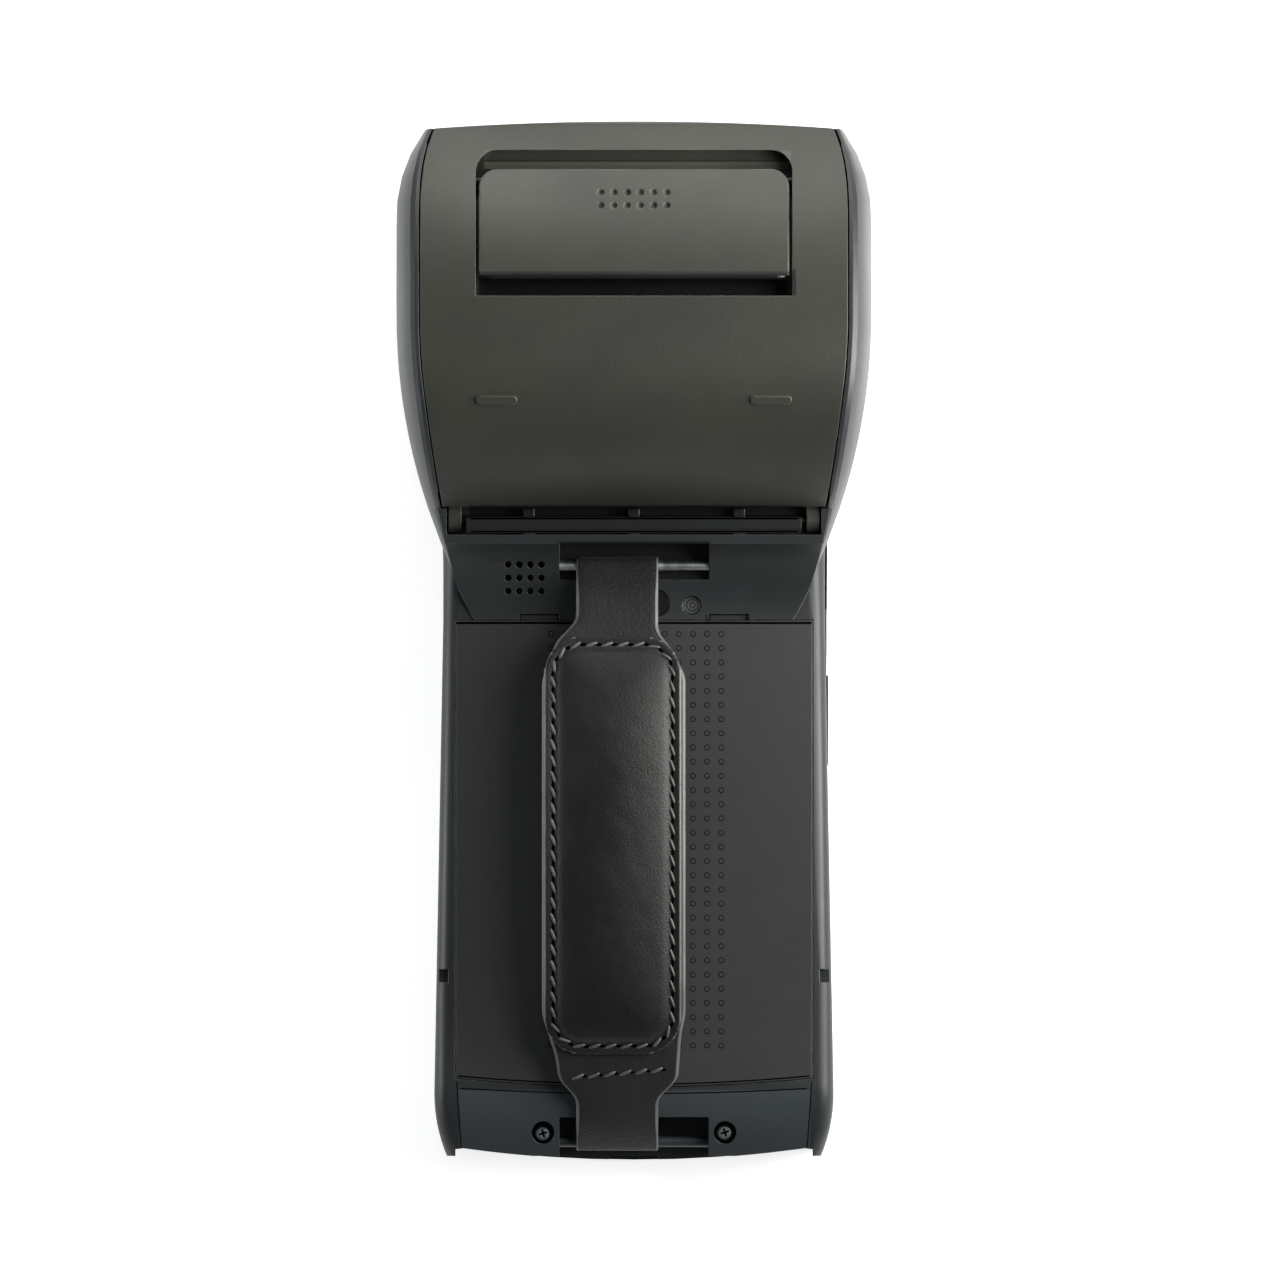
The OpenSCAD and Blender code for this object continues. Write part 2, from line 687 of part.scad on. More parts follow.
module battery_cover() color("#303233") {
    half = cover_w / 2 + cut;
    intersection() {
        translate([0, 0, cover_z]) linear_extrude(cover_t) cover_plan(0);
        translate([0, y_head, 0]) rotate([90, 0, 0]) linear_extrude(body_l) polygon(concat(
            [[half, 0], [-half, 0]],
            [for (x = steps(-half, half, 12)) [x, grip_h - drop(cover_crown_r, x)]]));
    }
    for (x = [-tongue_x, tongue_x]) block([x - cover_tab_w / 2, neck_y - cut, cover_z],
        [x + cover_tab_w / 2, neck_y + cover_tab_l, cover_z + cover_tab_t]);
}

module housing_screws() color("#1b1c1d") {
    for (x = [-screw_x, screw_x]) translate([x, screw_y, 0]) difference() {
        union() {
            translate([0, 0, floor_z - 1.8]) cylinder(d = screw_d, h = split_h + 2.3 - floor_z + 1.8);
            translate([0, 0, split_h + 2.2]) cylinder(d = screw_head_d, h = 1.6);
        }
        for (a = [0, 90]) translate([0, 0, split_h + 3.8]) rotate(a) cube([2.4, 0.6, 1.6], center = true);
    }
}

module paper_bin() color("#26292b") {
    flange_ys = steps(hinge_y + 5.6, chassis_y0 - 0.5, 12);
    difference() {
        union() {
            across(2 * (bin_half + bin_wall)) intersection() {
                translate([roll_y, roll_z]) circle(bin_r + bin_wall);
                translate([roll_y - roll_d, 0]) square([2 * roll_d, roll_z]);
            }
            translate([0, 0, ledge_z + seat_gap]) linear_extrude(roll_z - ledge_z - seat_gap) polygon(concat(
                [for (y = flange_ys) [lid_half(y) - 0.2, y]],
                [for (y = reverse(flange_ys)) [0.2 - lid_half(y), y]]));
        }
        rod(-bin_half, bin_half, roll_y, roll_z, 2 * bin_r);
    }
}

module hinge_pin() color("#b9bcbe") rod(-pin_half + 0.1, pin_half - 0.1, hinge_y, hinge_z, hinge_d);

module hinge_strip() color("#2f3132") {
    y = trough_y + 0.3;
    z = shelf_z - 0.6;
    across(2 * strip_half) polygon([[y, z], [y + strip_l, z], [y + strip_l, z + strip_t - 0.3],
        [y + strip_l - 0.4, z + strip_t], [y + 0.9, z + strip_t], [y, z + 0.5]]);
}

// Side plate of the chassis, notched from above for the platen's bush
module cheek() {
    c = [platen_y, platen_z];
    pin = [latch_y + catch_y, latch_z + catch_z];
    difference() {
        across(cheek_t, cheek_x + cheek_t / 2) difference() {
            polygon([[chassis_y0, chassis_z], [chassis_y1, chassis_z], [chassis_y1, pin[1] + 1.4],
                [pin[0] - 1.3, pin[1] + 1.4], [c[0] + bush_r + 0.6, c[1] + 3], [c[0], c[1] + 3],
                [c[0] - bush_r - 0.6, c[1] + 2.4], [chassis_y0 + 3, c[1] - 1], [chassis_y0, motor_z + 6]]);
            translate(c) circle(bush_r + 0.1);
            translate([c[0] - bush_r - 0.1, c[1]]) square([2 * bush_r + 0.2, 10]);
            translate([head_y, head_z]) circle(d = head_pin_d + 2 * pin_gap);
        }
    }
    rod(cheek_x + cheek_t - 0.1, hook_x + hook_t, pin[0], pin[1], catch_d);
}

module printer_chassis() color("#9a9ea1") {
    difference() {
        both_sides() cheek();
        rod(cheek_x - cut, cheek_x + cheek_t + cut, motor_y, motor_z, 3);
    }
    block([-cheek_x - 0.1, chassis_y0, chassis_z], [cheek_x + 0.1, chassis_y1, chassis_z + chassis_t]);
    rod(cheek_x + cheek_t - 0.1, wheel_x + gear_t + 0.2, idler_y, idler_z, idler_pin_d);
}

module stepper_motor() color("#8b8f92") {
    difference() {
        union() {
            rod(cheek_x - motor_l, cheek_x, motor_y, motor_z, motor_d);
            across(0.8, cheek_x - 0.4)
                translate([motor_y, motor_z]) square([motor_d + 5, 3.4], center = true);
        }
        rod(cheek_x - 4, cheek_x + cut, motor_y, motor_z, motor_shaft_d + 2 * pin_gap);
    }
}

module motor_pinion() color("#c9c4b4") {
    rod(cheek_x - 3.8, wheel_x + gear_t, motor_y, motor_z, motor_shaft_d);
    translate([wheel_x, motor_y, motor_z])
        gear(pinion_teeth, gear_t, motor_shaft_d - 0.2, train_angle - 180 + 180 / pinion_teeth);
}

module idler_gear() color("#e6e2d6") {
    bore = idler_pin_d + 2 * pin_gap;
    translate([gear_x, idler_y, idler_z]) gear(idler_small_teeth, gear_t, bore, 90 + 180 / idler_small_teeth);
    translate([wheel_x, idler_y, idler_z]) gear(idler_big_teeth, gear_t, bore, train_angle);
    difference() {
        rod(gear_x + gear_t - 0.1, wheel_x + 0.1, idler_y, idler_z, 5);
        rod(gear_x, wheel_x + cut, idler_y, idler_z, bore);
    }
}

module print_head() color("#c7cacc") {
    low = head_z - head_t / 2;
    high = head_z + head_t / 2;
    across(2 * rubber_half) polygon([[head_y - 1.1, low], [head_y + head_l, low],
        [head_y + head_l, high - 0.6], [head_y + head_l - 2, high], [head_y - 1.1, high]]);
    rod(-cheek_x - cheek_t, cheek_x + cheek_t, head_y, head_z, head_pin_d);
}

module head_springs() color("#c7cacc") {
    z0 = chassis_z + chassis_t;
    turns = 5;
    pitch = (head_z - head_t / 2 - z0 - 0.5) / turns;
    for (x = [-spring_x, spring_x])
        translate([x, spring_y, z0 + 0.25]) rotate([0, -90, 0]) coil(1.5, 0.4, turns, pitch);
}

module tear_bar() color("#c7cacc") {
    teeth = 40;
    w = 2 * (paper_w / 2 + 1);
    translate([0, head_wall_y, 0]) rotate([90, 0, 0]) linear_extrude(0.4) polygon(concat(
        [[-w / 2, slot_z - 3.4]],
        [for (i = [0 : teeth - 1]) each [
            [-w / 2 + i * w / teeth, slot_z + 0.1], [-w / 2 + (i + 0.5) * w / teeth, slot_z + 0.8]]],
        [[w / 2, slot_z + 0.1], [w / 2, slot_z - 3.4]]));
}

module platen_shaft() color("#c7cacc") {
    rod(-carrier_x - carrier_t - 2.2, gear_x + gear_t + 0.1, platen_y, platen_z, platen_shaft_d);
}

module platen_rubber() color("#1a1a1a") {
    difference() {
        rod(-rubber_half, rubber_half, platen_y, platen_z, platen_d);
        rod(-far, far, platen_y, platen_z, platen_shaft_d + 2 * press_gap);
    }
}

module platen_gear() color("#e6e2d6") {
    translate([gear_x, platen_y, platen_z])
        gear(platen_teeth, gear_t, platen_shaft_d + 2 * press_gap, -90);
}

module platen_bushes() color("#b8893a") {
    both_sides() difference() {
        union() {
            rod(carrier_x, cheek_x, platen_y, platen_z, 4.4);
            rod(carrier_x + carrier_t + 0.1, cheek_x + cheek_t, platen_y, platen_z, 2 * bush_r);
        }
        rod(0, far, platen_y, platen_z, platen_shaft_d + 2 * pin_gap);
    }
}

// Filled side view of the head's back, pulled in by a distance
module back_shape(d) {
    intersection() {
        translate([crown_y, back_z]) circle(back_r - d, $fn = 180);
        translate([crown_y - far, -far]) square([far, 2 * far]);
    }
    intersection() {
        translate([crown_y, crown_z]) circle(crown_r - d, $fn = 360);
        translate([crown_y, -far]) square([y_head - crown_y - d * 1.75, 2 * far]);
    }
}

// What the rounded edge at the head's end takes away
module end_round() {
    r = 2.5;
    y = y_head - r;
    z = crown_z + sqrt(pow(crown_r - r, 2) - pow(y - crown_y, 2));
    a = atan2(z - crown_z, y - crown_y);
    translate([y, z]) difference() {
        polygon([[0, 0], 10 * [cos(a), sin(a)], [10, 10], [10, 0]]);
        circle(r);
    }
}

// Space of the lever's pocket in plan
module pocket_plan(d) {
    difference() {
        round_plan(2 * (pocket_half + d), pocket_y0 - d - pocket_r, pocket_y1 + d, pocket_r);
        translate([-far, pocket_y0 - d - far]) square([2 * far, far]);
    }
}
module pocket_side(d) {
    y0 = pocket_y0 - 3;
    y1 = pocket_y1 + 3;
    polygon([[y0, pocket_floor(y0) - d], [y1, pocket_floor(y1) - d], [y1, far], [y0, far]]);
}

module printer_lid() color("#3a3b38") {
    skirt_ys = steps(hinge_y + 8, head_wall_y, 30);
    rib_angle = 15.6;
    difference() {
        union() {
            difference() {
                intersection() {
                    across(2 * head_w) difference() {
                        back_shape(0);
                        back_shape(lid_t);
                        end_round();
                    }
                    linear_extrude(far) polygon(lid_plan(0, lid_low_y, y_head + cut));
                    across(2 * head_w) polygon([[crown_y - far, lid_low_z], [crown_y, lid_low_z],
                        [crown_y, lid_end_z], [y_head + cut, lid_end_z], [y_head + cut, far],
                        [crown_y - far, far]]);
                }
                linear_extrude(far) pocket_plan(0);
            }
            // Walls and floor of the lever's pocket
            difference() {
                intersection() {
                    linear_extrude(far) pocket_plan(pocket_wall);
                    across(2 * head_w) intersection() {
                        back_shape(0.4);
                        pocket_side(pocket_floor_t);
                    }
                }
                intersection() {
                    linear_extrude(far) pocket_plan(0);
                    across(2 * head_w) pocket_side(0);
                }
            }
            // Stiffening skirts along both sides
            intersection() {
                linear_extrude(far) difference() {
                    polygon(lid_plan(-0.7, hinge_y + 9, head_wall_y - 2));
                    polygon(lid_plan(-1.9, hinge_y + 8, head_wall_y));
                }
                across(2 * head_w) polygon(concat(
                    [for (y = skirt_ys) [y, back_top(y) - lid_t / 2]],
                    [for (y = reverse(skirt_ys)) [y, back_top(y) - lid_t - 3]]));
            }
            // Hinge arms
            both_sides() across(arm_out - arm_in, (arm_in + arm_out) / 2) translate([hinge_y, hinge_z]) {
                circle(knuckle_r);
                polygon([[0, -knuckle_r], [3.4, -knuckle_r], [5.4, 0.4], [6, 5.6], [5.6, 8], [4.2, 6.6],
                    [3.6, 5], [3.2, 2.2], [0, knuckle_r]]);
            }
            // Two raised bars
            for (x = [-26, 26])
                translate([x, crown_y - back_r * sin(rib_angle), back_z + back_r * cos(rib_angle) - 0.6])
                rotate([rib_angle, 0, 0]) linear_extrude(1.1) round_plan(7.6, -0.75, 0.75, 0.7);
        }
        past_ends();
        rod(-far / 4, far / 4, hinge_y, hinge_z, hinge_d + 2 * pin_gap);
        rod(-far / 4, far / 4, latch_y, latch_z, latch_d + 2 * pin_gap);
    }
}

module platen_carrier() color("#8b8f92") {
    low = pocket_floor_t + seat_gap;
    y0 = platen_y - 13;
    y1 = platen_y - 6.5;
    c = [platen_y, platen_z];
    difference() {
        union() {
            across(2 * (carrier_x + carrier_t)) polygon([
                [y0, pocket_floor(y0) - low], [y1, pocket_floor(y1) - low],
                [y1, pocket_floor(y1) - low - 2], [y0, pocket_floor(y0) - low - 2]]);
            both_sides() across(carrier_t, carrier_x + carrier_t / 2) {
                translate(c) circle(3.4);
                polygon([[y0, pocket_floor(y0) - low], [c[0] - 2, pocket_floor(c[0]) - low - 0.3],
                    c + [3.2, 1], c + [0, -3.4], c + [-3.4, -0.6], [y0, pocket_floor(y0) - low - 4]]);
            }
        }
        rod(-far / 4, far / 4, platen_y, platen_z, 4.4 + 2 * press_gap);
        for (x = [-20, 20]) translate([x, platen_y - 9.7, 0]) cylinder(d = 2, h = far / 4);
    }
}

module carrier_screws() color("#1b1c1d") {
    y = platen_y - 9.7;
    z = pocket_floor(y) - pocket_floor_t - seat_gap - 2;
    for (x = [-20, 20]) translate([x, y, 0]) {
        translate([0, 0, z - 1.8]) cylinder(d = 3.2, h = 1.2);
        translate([0, 0, z - 0.7]) cylinder(d = 1.6, h = 3.4 - 1.2);
    }
}

module release_lever() color("#393a37") {
    difference() {
        union() {
            intersection() {
                across(lever_w) intersection() {
                    difference() {
                        back_shape(0.2);
                        back_shape(0.2 + lever_t);
                    }
                    translate([lever_y0, 0]) square([lever_y1 - lever_y0 + cut, far]);
                }
                linear_extrude(far) round_plan(lever_w, lever_y0 - pocket_r, lever_y1, pocket_r - 0.5);
            }
            across(lever_w) intersection() {
                difference() {
                    back_shape(0.2);
                    back_shape(0.2 + 2 * lever_t);
                }
                translate([lever_y0, 0]) square([1.5, far]);
            }
            for (x = lug_xs) across(lug_w, x) translate([latch_y, latch_z]) {
                circle(lug_r);
                polygon([[-lug_r, 0], [lug_r, 0], [1.6, 3], [-4, 4]]);
            }
        }
        for (i = [0 : 5], j = [0, 1]) translate([(i - 2.5) * 2.5, y_head - 13.6 - j * 2.5, 0])
            translate([0, 0, back_top(y_head - 13.6 - j * 2.5) - 0.7]) cylinder(d = 1.2, h = 5, $fn = 16);
        rod(-far / 4, far / 4, latch_y, latch_z, latch_d + 2 * press_gap);
    }
}

module latch_shaft() color("#c7cacc") rod(-hook_x - hook_t, hook_x + hook_t, latch_y, latch_z, latch_d);

module latch_hooks() color("#b9bcbe") {
    y = catch_y;
    z = catch_z;
    both_sides() across(hook_t, hook_x + hook_t / 2) translate([latch_y, latch_z]) difference() {
        union() {
            circle(hook_r);
            polygon([[-hook_r, 0], [hook_r, 0], [2.6, -3], [y - 1.2, z + 0.6], [y - 1.2, z - 1.2],
                [y + 0.9, z - 1.2], [y + 0.9, z - 1.9], [y - 0.6, z - 2.4], [0.8, z - 1.6], [0, -3]]);
        }
        translate([y, z]) circle(d = catch_d + 2 * 0.2);
        circle(d = latch_d + 2 * press_gap);
    }
}

module lever_spring() color("#c7cacc") {
    translate([-1.6, latch_y, latch_z]) coil(latch_d / 2 + 0.35, 0.3, 5, 0.62);
}

module paper_roll() color("#f3f1ea") {
    difference() {
        rod(-rubber_half, rubber_half, roll_y, roll_z, roll_d);
        rod(-far, far, roll_y, roll_z, core_d + 2 * press_gap);
    }
}

module paper_core() color("#b89b72") {
    difference() {
        rod(-rubber_half, rubber_half, roll_y, roll_z, core_d);
        rod(-far, far, roll_y, roll_z, core_d - 2);
    }
}

module camera_module() color("#15181a") {
    translate([camera_x, camera_y, grip_h - 6])
        cylinder(d = window_d - 0.8, h = window_z - window_t - grip_h + 6);
    block([camera_x - 4, camera_y - 2.4, grip_h - 9], [camera_x + 4, camera_y + 5, grip_h - 5.9]);
}

module camera_window() color("#0b0c0d") {
    translate([camera_x, camera_y, window_z - window_t]) cylinder(d = window_d, h = window_t);
}

module flash_window() color("#d8d5c8") {
    translate([flash_x, flash_y, window_z - window_t]) cylinder(d = flash_d, h = window_t);
}

module speaker() color("#3a3d40") {
    block([speaker_x - speaker_size / 2, speaker_y - speaker_size / 2, grip_h - 6.4],
        [speaker_x + speaker_size / 2, speaker_y + speaker_size / 2, cover_z - 0.9]);
}

module strap_bar() color("#c7cacc") rod(-slot_half - 0.9, slot_half + 0.9, upper_y, upper_z, bar_d);

// Middle line of the strap, a curve with four control points
upper_out = [-cos(upper_angle), sin(upper_angle)];
lower_out = [cos(lower_angle), sin(lower_angle)];
strap_points = let (
    p0 = [lower_y, lower_z] + loop_r * [-lower_out[1], lower_out[0]],
    p3 = [upper_y, upper_z] + loop_r * [upper_out[1], -upper_out[0]])
    [p0, p0 + 19 * lower_out, p3 + 35 * upper_out, p3];
function bezier(p, t) = pow(1 - t, 3) * p[0] + 3 * pow(1 - t, 2) * t * p[1]
    + 3 * (1 - t) * t * t * p[2] + pow(t, 3) * p[3];
function strap_normal(t) = let (d = bezier(strap_points, t + 0.01) - bezier(strap_points, t - 0.01))
    [-d[1], d[0]] / norm(d);
function strap_line(t0, t1, d, n) =
    [for (t = steps(t0, t1, n)) bezier(strap_points, t) + d * strap_normal(t)];
module strap_band(t0, t1, low, high, n) {
    polygon(concat(strap_line(t0, t1, low, n), reverse(strap_line(t0, t1, high, n))));
}

// Plan of the strap: narrow tongues at the ends and a wide middle with curved shoulders
module strap_plan() {
    shoulder = [[0, 0.25], [1.5, 0.6], [3.5, 1.9], [5, 3.9], [6, 5.5]];
    wide_y0 = y_foot + 20.5;
    wide_y1 = neck_y - 3;
    n = len(shoulder) - 1;
    extra = (strap_w - tongue_w) / 2;
    low = [for (p = shoulder)
        [tongue_w / 2 + extra * p[1] / shoulder[n][1], wide_y0 - shoulder[n][0] + p[0]]];
    high = [for (p = reverse(shoulder))
        [tongue_w / 2 + extra * p[1] / shoulder[n][1], wide_y1 + shoulder[n][0] - p[0]]];
    half = concat([[tongue_w / 2, y_foot - 5]], low, high, [[tongue_w / 2, upper_y + 6]]);
    polygon(concat([for (p = half) [strap_x + p[0], p[1]]],
        [for (p = reverse(half)) [strap_x - p[0], p[1]]]));
}

module strap_web() color("#1c1e1e") {
    intersection() {
        across(4 * strap_w) union() {
            strap_band(0, 1, -strap_t / 2, strap_t / 2, 40);
            for (p = [[upper_y, upper_z], [lower_y, lower_z]]) translate(p) difference() {
                circle(loop_r + strap_t / 2);
                circle(loop_r - strap_t / 2);
            }
        }
        linear_extrude(far) strap_plan();
    }
}

module strap_pad() color("#151616") {
    intersection() {
        across(2 * strap_w) strap_band(0.175, 0.925, strap_t / 2, strap_t / 2 + pad_t, 30);
        linear_extrude(far) translate([strap_x, 0]) round_plan(strap_w - 5, y_foot + 22, neck_y - 3.5, 7);
    }
}

front_shell();
cover_glass();
display_module();
earpiece();
main_board();
shield_cans();
usb_port();
side_switches();
rear_shell();
battery_pack();
battery_contacts();
battery_cover();
housing_screws();
paper_bin();
hinge_pin();
hinge_strip();
printer_chassis();
stepper_motor();
motor_pinion();
idler_gear();
print_head();
head_springs();
tear_bar();
platen_shaft();
platen_rubber();
platen_gear();
platen_bushes();
printer_lid();
platen_carrier();
carrier_screws();
release_lever();
latch_shaft();
latch_hooks();
lever_spring();
paper_roll();
paper_core();
power_key();
volume_key();
camera_module();
camera_window();
flash_window();
speaker();
strap_bar();
strap_web();
strap_pad();
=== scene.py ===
"""Looks of a handheld mobile computer with a receipt printer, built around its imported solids.

Metres, in the frame of the solids: +Z points out of the back, +Y towards the printer head. First come the
camera and the studio, then the materials, the leather strap with its pad, and the small forms.
"""
import bisect
import math

import bmesh
import bpy
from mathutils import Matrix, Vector, noise
from mathutils.bvhtree import BVHTree


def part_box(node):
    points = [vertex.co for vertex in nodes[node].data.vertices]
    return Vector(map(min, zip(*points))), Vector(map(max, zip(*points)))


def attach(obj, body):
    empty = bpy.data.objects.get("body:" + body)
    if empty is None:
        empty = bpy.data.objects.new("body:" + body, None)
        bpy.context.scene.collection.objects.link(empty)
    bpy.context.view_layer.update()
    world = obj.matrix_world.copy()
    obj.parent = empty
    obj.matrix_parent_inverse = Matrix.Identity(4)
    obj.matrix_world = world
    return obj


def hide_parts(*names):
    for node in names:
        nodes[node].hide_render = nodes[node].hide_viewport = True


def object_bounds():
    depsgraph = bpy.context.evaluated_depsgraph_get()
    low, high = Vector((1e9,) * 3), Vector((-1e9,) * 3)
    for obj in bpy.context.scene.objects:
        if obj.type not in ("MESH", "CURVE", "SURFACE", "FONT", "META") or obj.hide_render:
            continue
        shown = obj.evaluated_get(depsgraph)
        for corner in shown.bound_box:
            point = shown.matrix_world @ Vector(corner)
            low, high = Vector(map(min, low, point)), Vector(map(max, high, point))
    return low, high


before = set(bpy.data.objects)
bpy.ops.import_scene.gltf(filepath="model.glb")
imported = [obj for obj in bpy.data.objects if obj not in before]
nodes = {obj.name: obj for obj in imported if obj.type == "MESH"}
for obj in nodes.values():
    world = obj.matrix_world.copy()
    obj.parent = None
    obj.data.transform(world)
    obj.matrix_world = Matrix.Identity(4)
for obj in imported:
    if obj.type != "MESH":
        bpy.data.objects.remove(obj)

cad_low, cad_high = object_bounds()
MM = 0.001
UP = Vector((0, 0, 1))
CLEAR = 10 * MM
scene = bpy.context.scene

# Photograph: its size in pixels, the size of one pixel on the object, and the object's middle
PHOTO_PX = 1280
PIXEL = 0.19 * MM
MIDDLE_PX = (634, 641.5)

# Boxes in the photograph where painted shade and painted light lie on the plastic: left, top, right and
# bottom
# Painted shade: the strap's recess, deep in shade, is painted near-black
STRAP_RECESS_SHADE_PX = (559, 541, 710, 580)
# Painted shade: the slot at the foot end is painted near-black
FOOT_SLOT_SHADE_PX = (563, 1117, 707, 1137)
# Painted shade: the gap under the lever's free edge is painted near-black
LEVER_GAP_SHADE_PX = (479, 270, 796, 297)
# Painted shade: a darker band along the lever's lower edge, where it turns down into shade
LEVER_EDGE_SHADE_PX = (479, 272, 796, 280)
# Painted shade: a darker band under the pocket's top wall, where the wall casts shade
POCKET_TOP_SHADE_PX = (484, 151, 791, 161)
# Painted highlight: a lighter band where the lever's rounded top catches light
POCKET_RAMP_HIGHLIGHT_PX = (484, 162, 790, 170)
# Painted shade: the notches beside the cover's tabs are painted near-black, on the housing and on the
# cover
COVER_TAB_SHADE_PX = ((519, 614, 561, 622), (705, 614, 750, 622))
# Painted shade: the gap between the lid's lower edge and the hinge strip is painted near-black, on the
# housing and on the lid
HINGE_GAP_SHADE_PX = (469, 505, 803, 520)
# Painted light: the end cap is painted lighter than the rest of the housing, standing in for the light it
# catches towards the foot
END_CAP_LIGHT_PX = (458, 1090, 811, 1165)

# Camera, lamps and studio. Each lamp has its place, aim, size, radiance and colour
CAMERA_DISTANCE = 8
SENSOR = 36
LAMPS = {
    "right_near": ((0.17, 0.07, 0.26), (0.02, 0, 0.02), (0.14, 0.14), 9.7, (1, 0.98, 0.95)),
    "right_low": ((0.30, 0.05, 0.14), (0, 0, 0.02), (0.24, 0.1), 21, (1, 0.98, 0.95)),
    "top_mid": ((0.03, 0.34, 0.22), (0, 0.05, 0.03), (0.3, 0.14), 7, (1, 0.98, 0.92)),
    "top_low": ((0.02, 0.42, 0.12), (0, 0.07, 0.04), (0.4, 0.12), 2.4, (1, 0.98, 0.92)),
    "over_right": ((0.3, 0, 0.24), (0, 0, 0.02), (0.2, 0.2), 8.5, (1, 0.98, 0.94)),
    "left_low": ((-0.36, 0.02, 0.08), (0, 0, 0.02), (0.36, 0.08), 12, (0.95, 0.98, 1)),
}
FILL_COLOUR, FILL_STRENGTH = (0.82, 0.92, 1, 1), 0.09
WALL_COLOUR, WALL_HEIGHT = (1, 1, 1, 1), 0.1
CEILING_COLOUR, CEILING_HEIGHT = (0.16, 0.17, 0.18, 1), 0.55
FLOOR_REACH = 4
FLOOR_BELOW = 0.02 * MM
FLOOR_PAINT = (0.55, 0.55, 0.55, 1)
FLOOR_GLOW = (0.8, 0.8, 0.8, 1)


# Small helpers

def srgb(code):
    """Linear colour of a hex code."""
    values = [int(code[i:i + 2], 16) / 255 for i in (0, 2, 4)]
    return [v / 12.92 if v <= 0.04045 else ((v + 0.055) / 1.055) ** 2.4 for v in values] + [1]


def smooth(a, b, x):
    """Rises smoothly from 0 at a to 1 at b."""
    t = min(max((x - a) / (b - a), 0), 1)
    return t * t * (3 - 2 * t)


def at_pixel(x, y):
    """Place on the object, seen from above, of a pixel of the photograph."""
    return Vector(((x - MIDDLE_PX[0]) * PIXEL, (MIDDLE_PX[1] - y) * PIXEL, 0))


def surface_of(name):
    """The faces of a solid, to set small pieces on."""
    data = nodes[name].data
    corners = [v.co for v in data.vertices]
    return BVHTree.FromPolygons(corners, [list(p.vertices) for p in data.polygons])


def seat(faces, place):
    """The highest point of a surface at a place seen from above, and its normal."""
    above = Vector((place.x, place.y, cad_high.z + CLEAR))
    found, normal, _, _ = faces.ray_cast(above, -UP)
    return found, normal


def circle(count):
    """Angles at even steps round a circle."""
    return [math.tau * k / count for k in range(count)]


def strip(mesh, low, high):
    """Faces between two rows of vertices, in order."""
    return [mesh.faces.new(corners) for corners in zip(low, low[1:], high[1:], high)]


def bridge(mesh, low, high):
    """Faces between two closed rings of vertices, in order."""
    return strip(mesh, low + low[:1], high + high[:1])


def skin(mesh, rings):
    """Faces between closed rings, from the first ring to the last."""
    for low, high in zip(rings, rings[1:]):
        bridge(mesh, low, high)


def mesh_object(name, mesh, body, materials):
    """A new piece made of a bmesh, which rides on a body and takes its finish from a slot."""
    data = bpy.data.meshes.new(name)
    mesh.normal_update()
    mesh.to_mesh(data)
    mesh.free()
    piece = bpy.data.objects.new(name, data)
    scene.collection.objects.link(piece)
    for material in materials:
        data.materials.append(material)
    data.shade_smooth()
    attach(piece, body)
    return piece


# Camera, light and floor

def make_camera():
    """The camera looks straight down on the back, as in the photograph."""
    data = bpy.data.cameras.new("camera")
    data.sensor_width = SENSOR
    data.lens = SENSOR * CAMERA_DISTANCE / (PHOTO_PX * PIXEL)
    camera = bpy.data.objects.new("camera", data)
    scene.collection.objects.link(camera)
    x = (PHOTO_PX / 2 - MIDDLE_PX[0]) * PIXEL
    y = (MIDDLE_PX[1] - PHOTO_PX / 2) * PIXEL
    camera.location = (x, y, CAMERA_DISTANCE + cad_high.z / 2)
    scene.camera = camera


def area_light(name, place, aim, size, radiance, colour):
    """A rectangular lamp of the given radiance."""
    data = bpy.data.lights.new(name, "AREA")
    data.shape = "RECTANGLE"
    data.size, data.size_y = size
    data.energy = radiance * math.pi * size[0] * size[1]
    data.color = colour
    lamp = bpy.data.objects.new(name, data)
    scene.collection.objects.link(lamp)
    lamp.location = place
    lamp.rotation_euler = (Vector(aim) - Vector(place)).to_track_quat("-Z", "Y").to_euler()


def seen_directly(tree):
    """1 for rays that show a background: straight from the camera, in a gloss or through glass."""
    path = tree.nodes.new("ShaderNodeLightPath")
    value = path.outputs["Is Camera Ray"]
    for kind in ("Is Glossy Ray", "Is Transmission Ray"):
        both = tree.nodes.new("ShaderNodeMath")
        both.operation = "MAXIMUM"
        tree.links.new(value, both.inputs[0])
        tree.links.new(path.outputs[kind], both.inputs[1])
        value = both.outputs[0]
    return value


def make_world():
    """White walls under a grey ceiling for what is seen, and an even fill for what is lit."""
    world = bpy.data.worlds.new("studio")
    world.use_nodes = True
    tree = world.node_tree
    tree.nodes.clear()
    height = tree.nodes.new("ShaderNodeSeparateXYZ")
    ramp = tree.nodes.new("ShaderNodeValToRGB")
    walls, fill = (tree.nodes.new("ShaderNodeBackground") for _ in range(2))
    mix = tree.nodes.new("ShaderNodeMixShader")
    output = tree.nodes.new("ShaderNodeOutputWorld")
    tree.links.new(tree.nodes.new("ShaderNodeTexCoord").outputs["Generated"], height.inputs[0])
    tree.links.new(height.outputs["Z"], ramp.inputs[0])
    walls_stop, ceiling_stop = ramp.color_ramp.elements
    walls_stop.position, walls_stop.color = WALL_HEIGHT, WALL_COLOUR
    ceiling_stop.position, ceiling_stop.color = CEILING_HEIGHT, CEILING_COLOUR
    tree.links.new(ramp.outputs[0], walls.inputs["Color"])
    fill.inputs["Color"].default_value = FILL_COLOUR
    fill.inputs["Strength"].default_value = FILL_STRENGTH
    tree.links.new(seen_directly(tree), mix.inputs[0])
    tree.links.new(fill.outputs[0], mix.inputs[1])
    tree.links.new(walls.outputs[0], mix.inputs[2])
    tree.links.new(mix.outputs[0], output.inputs[0])
    scene.world = world


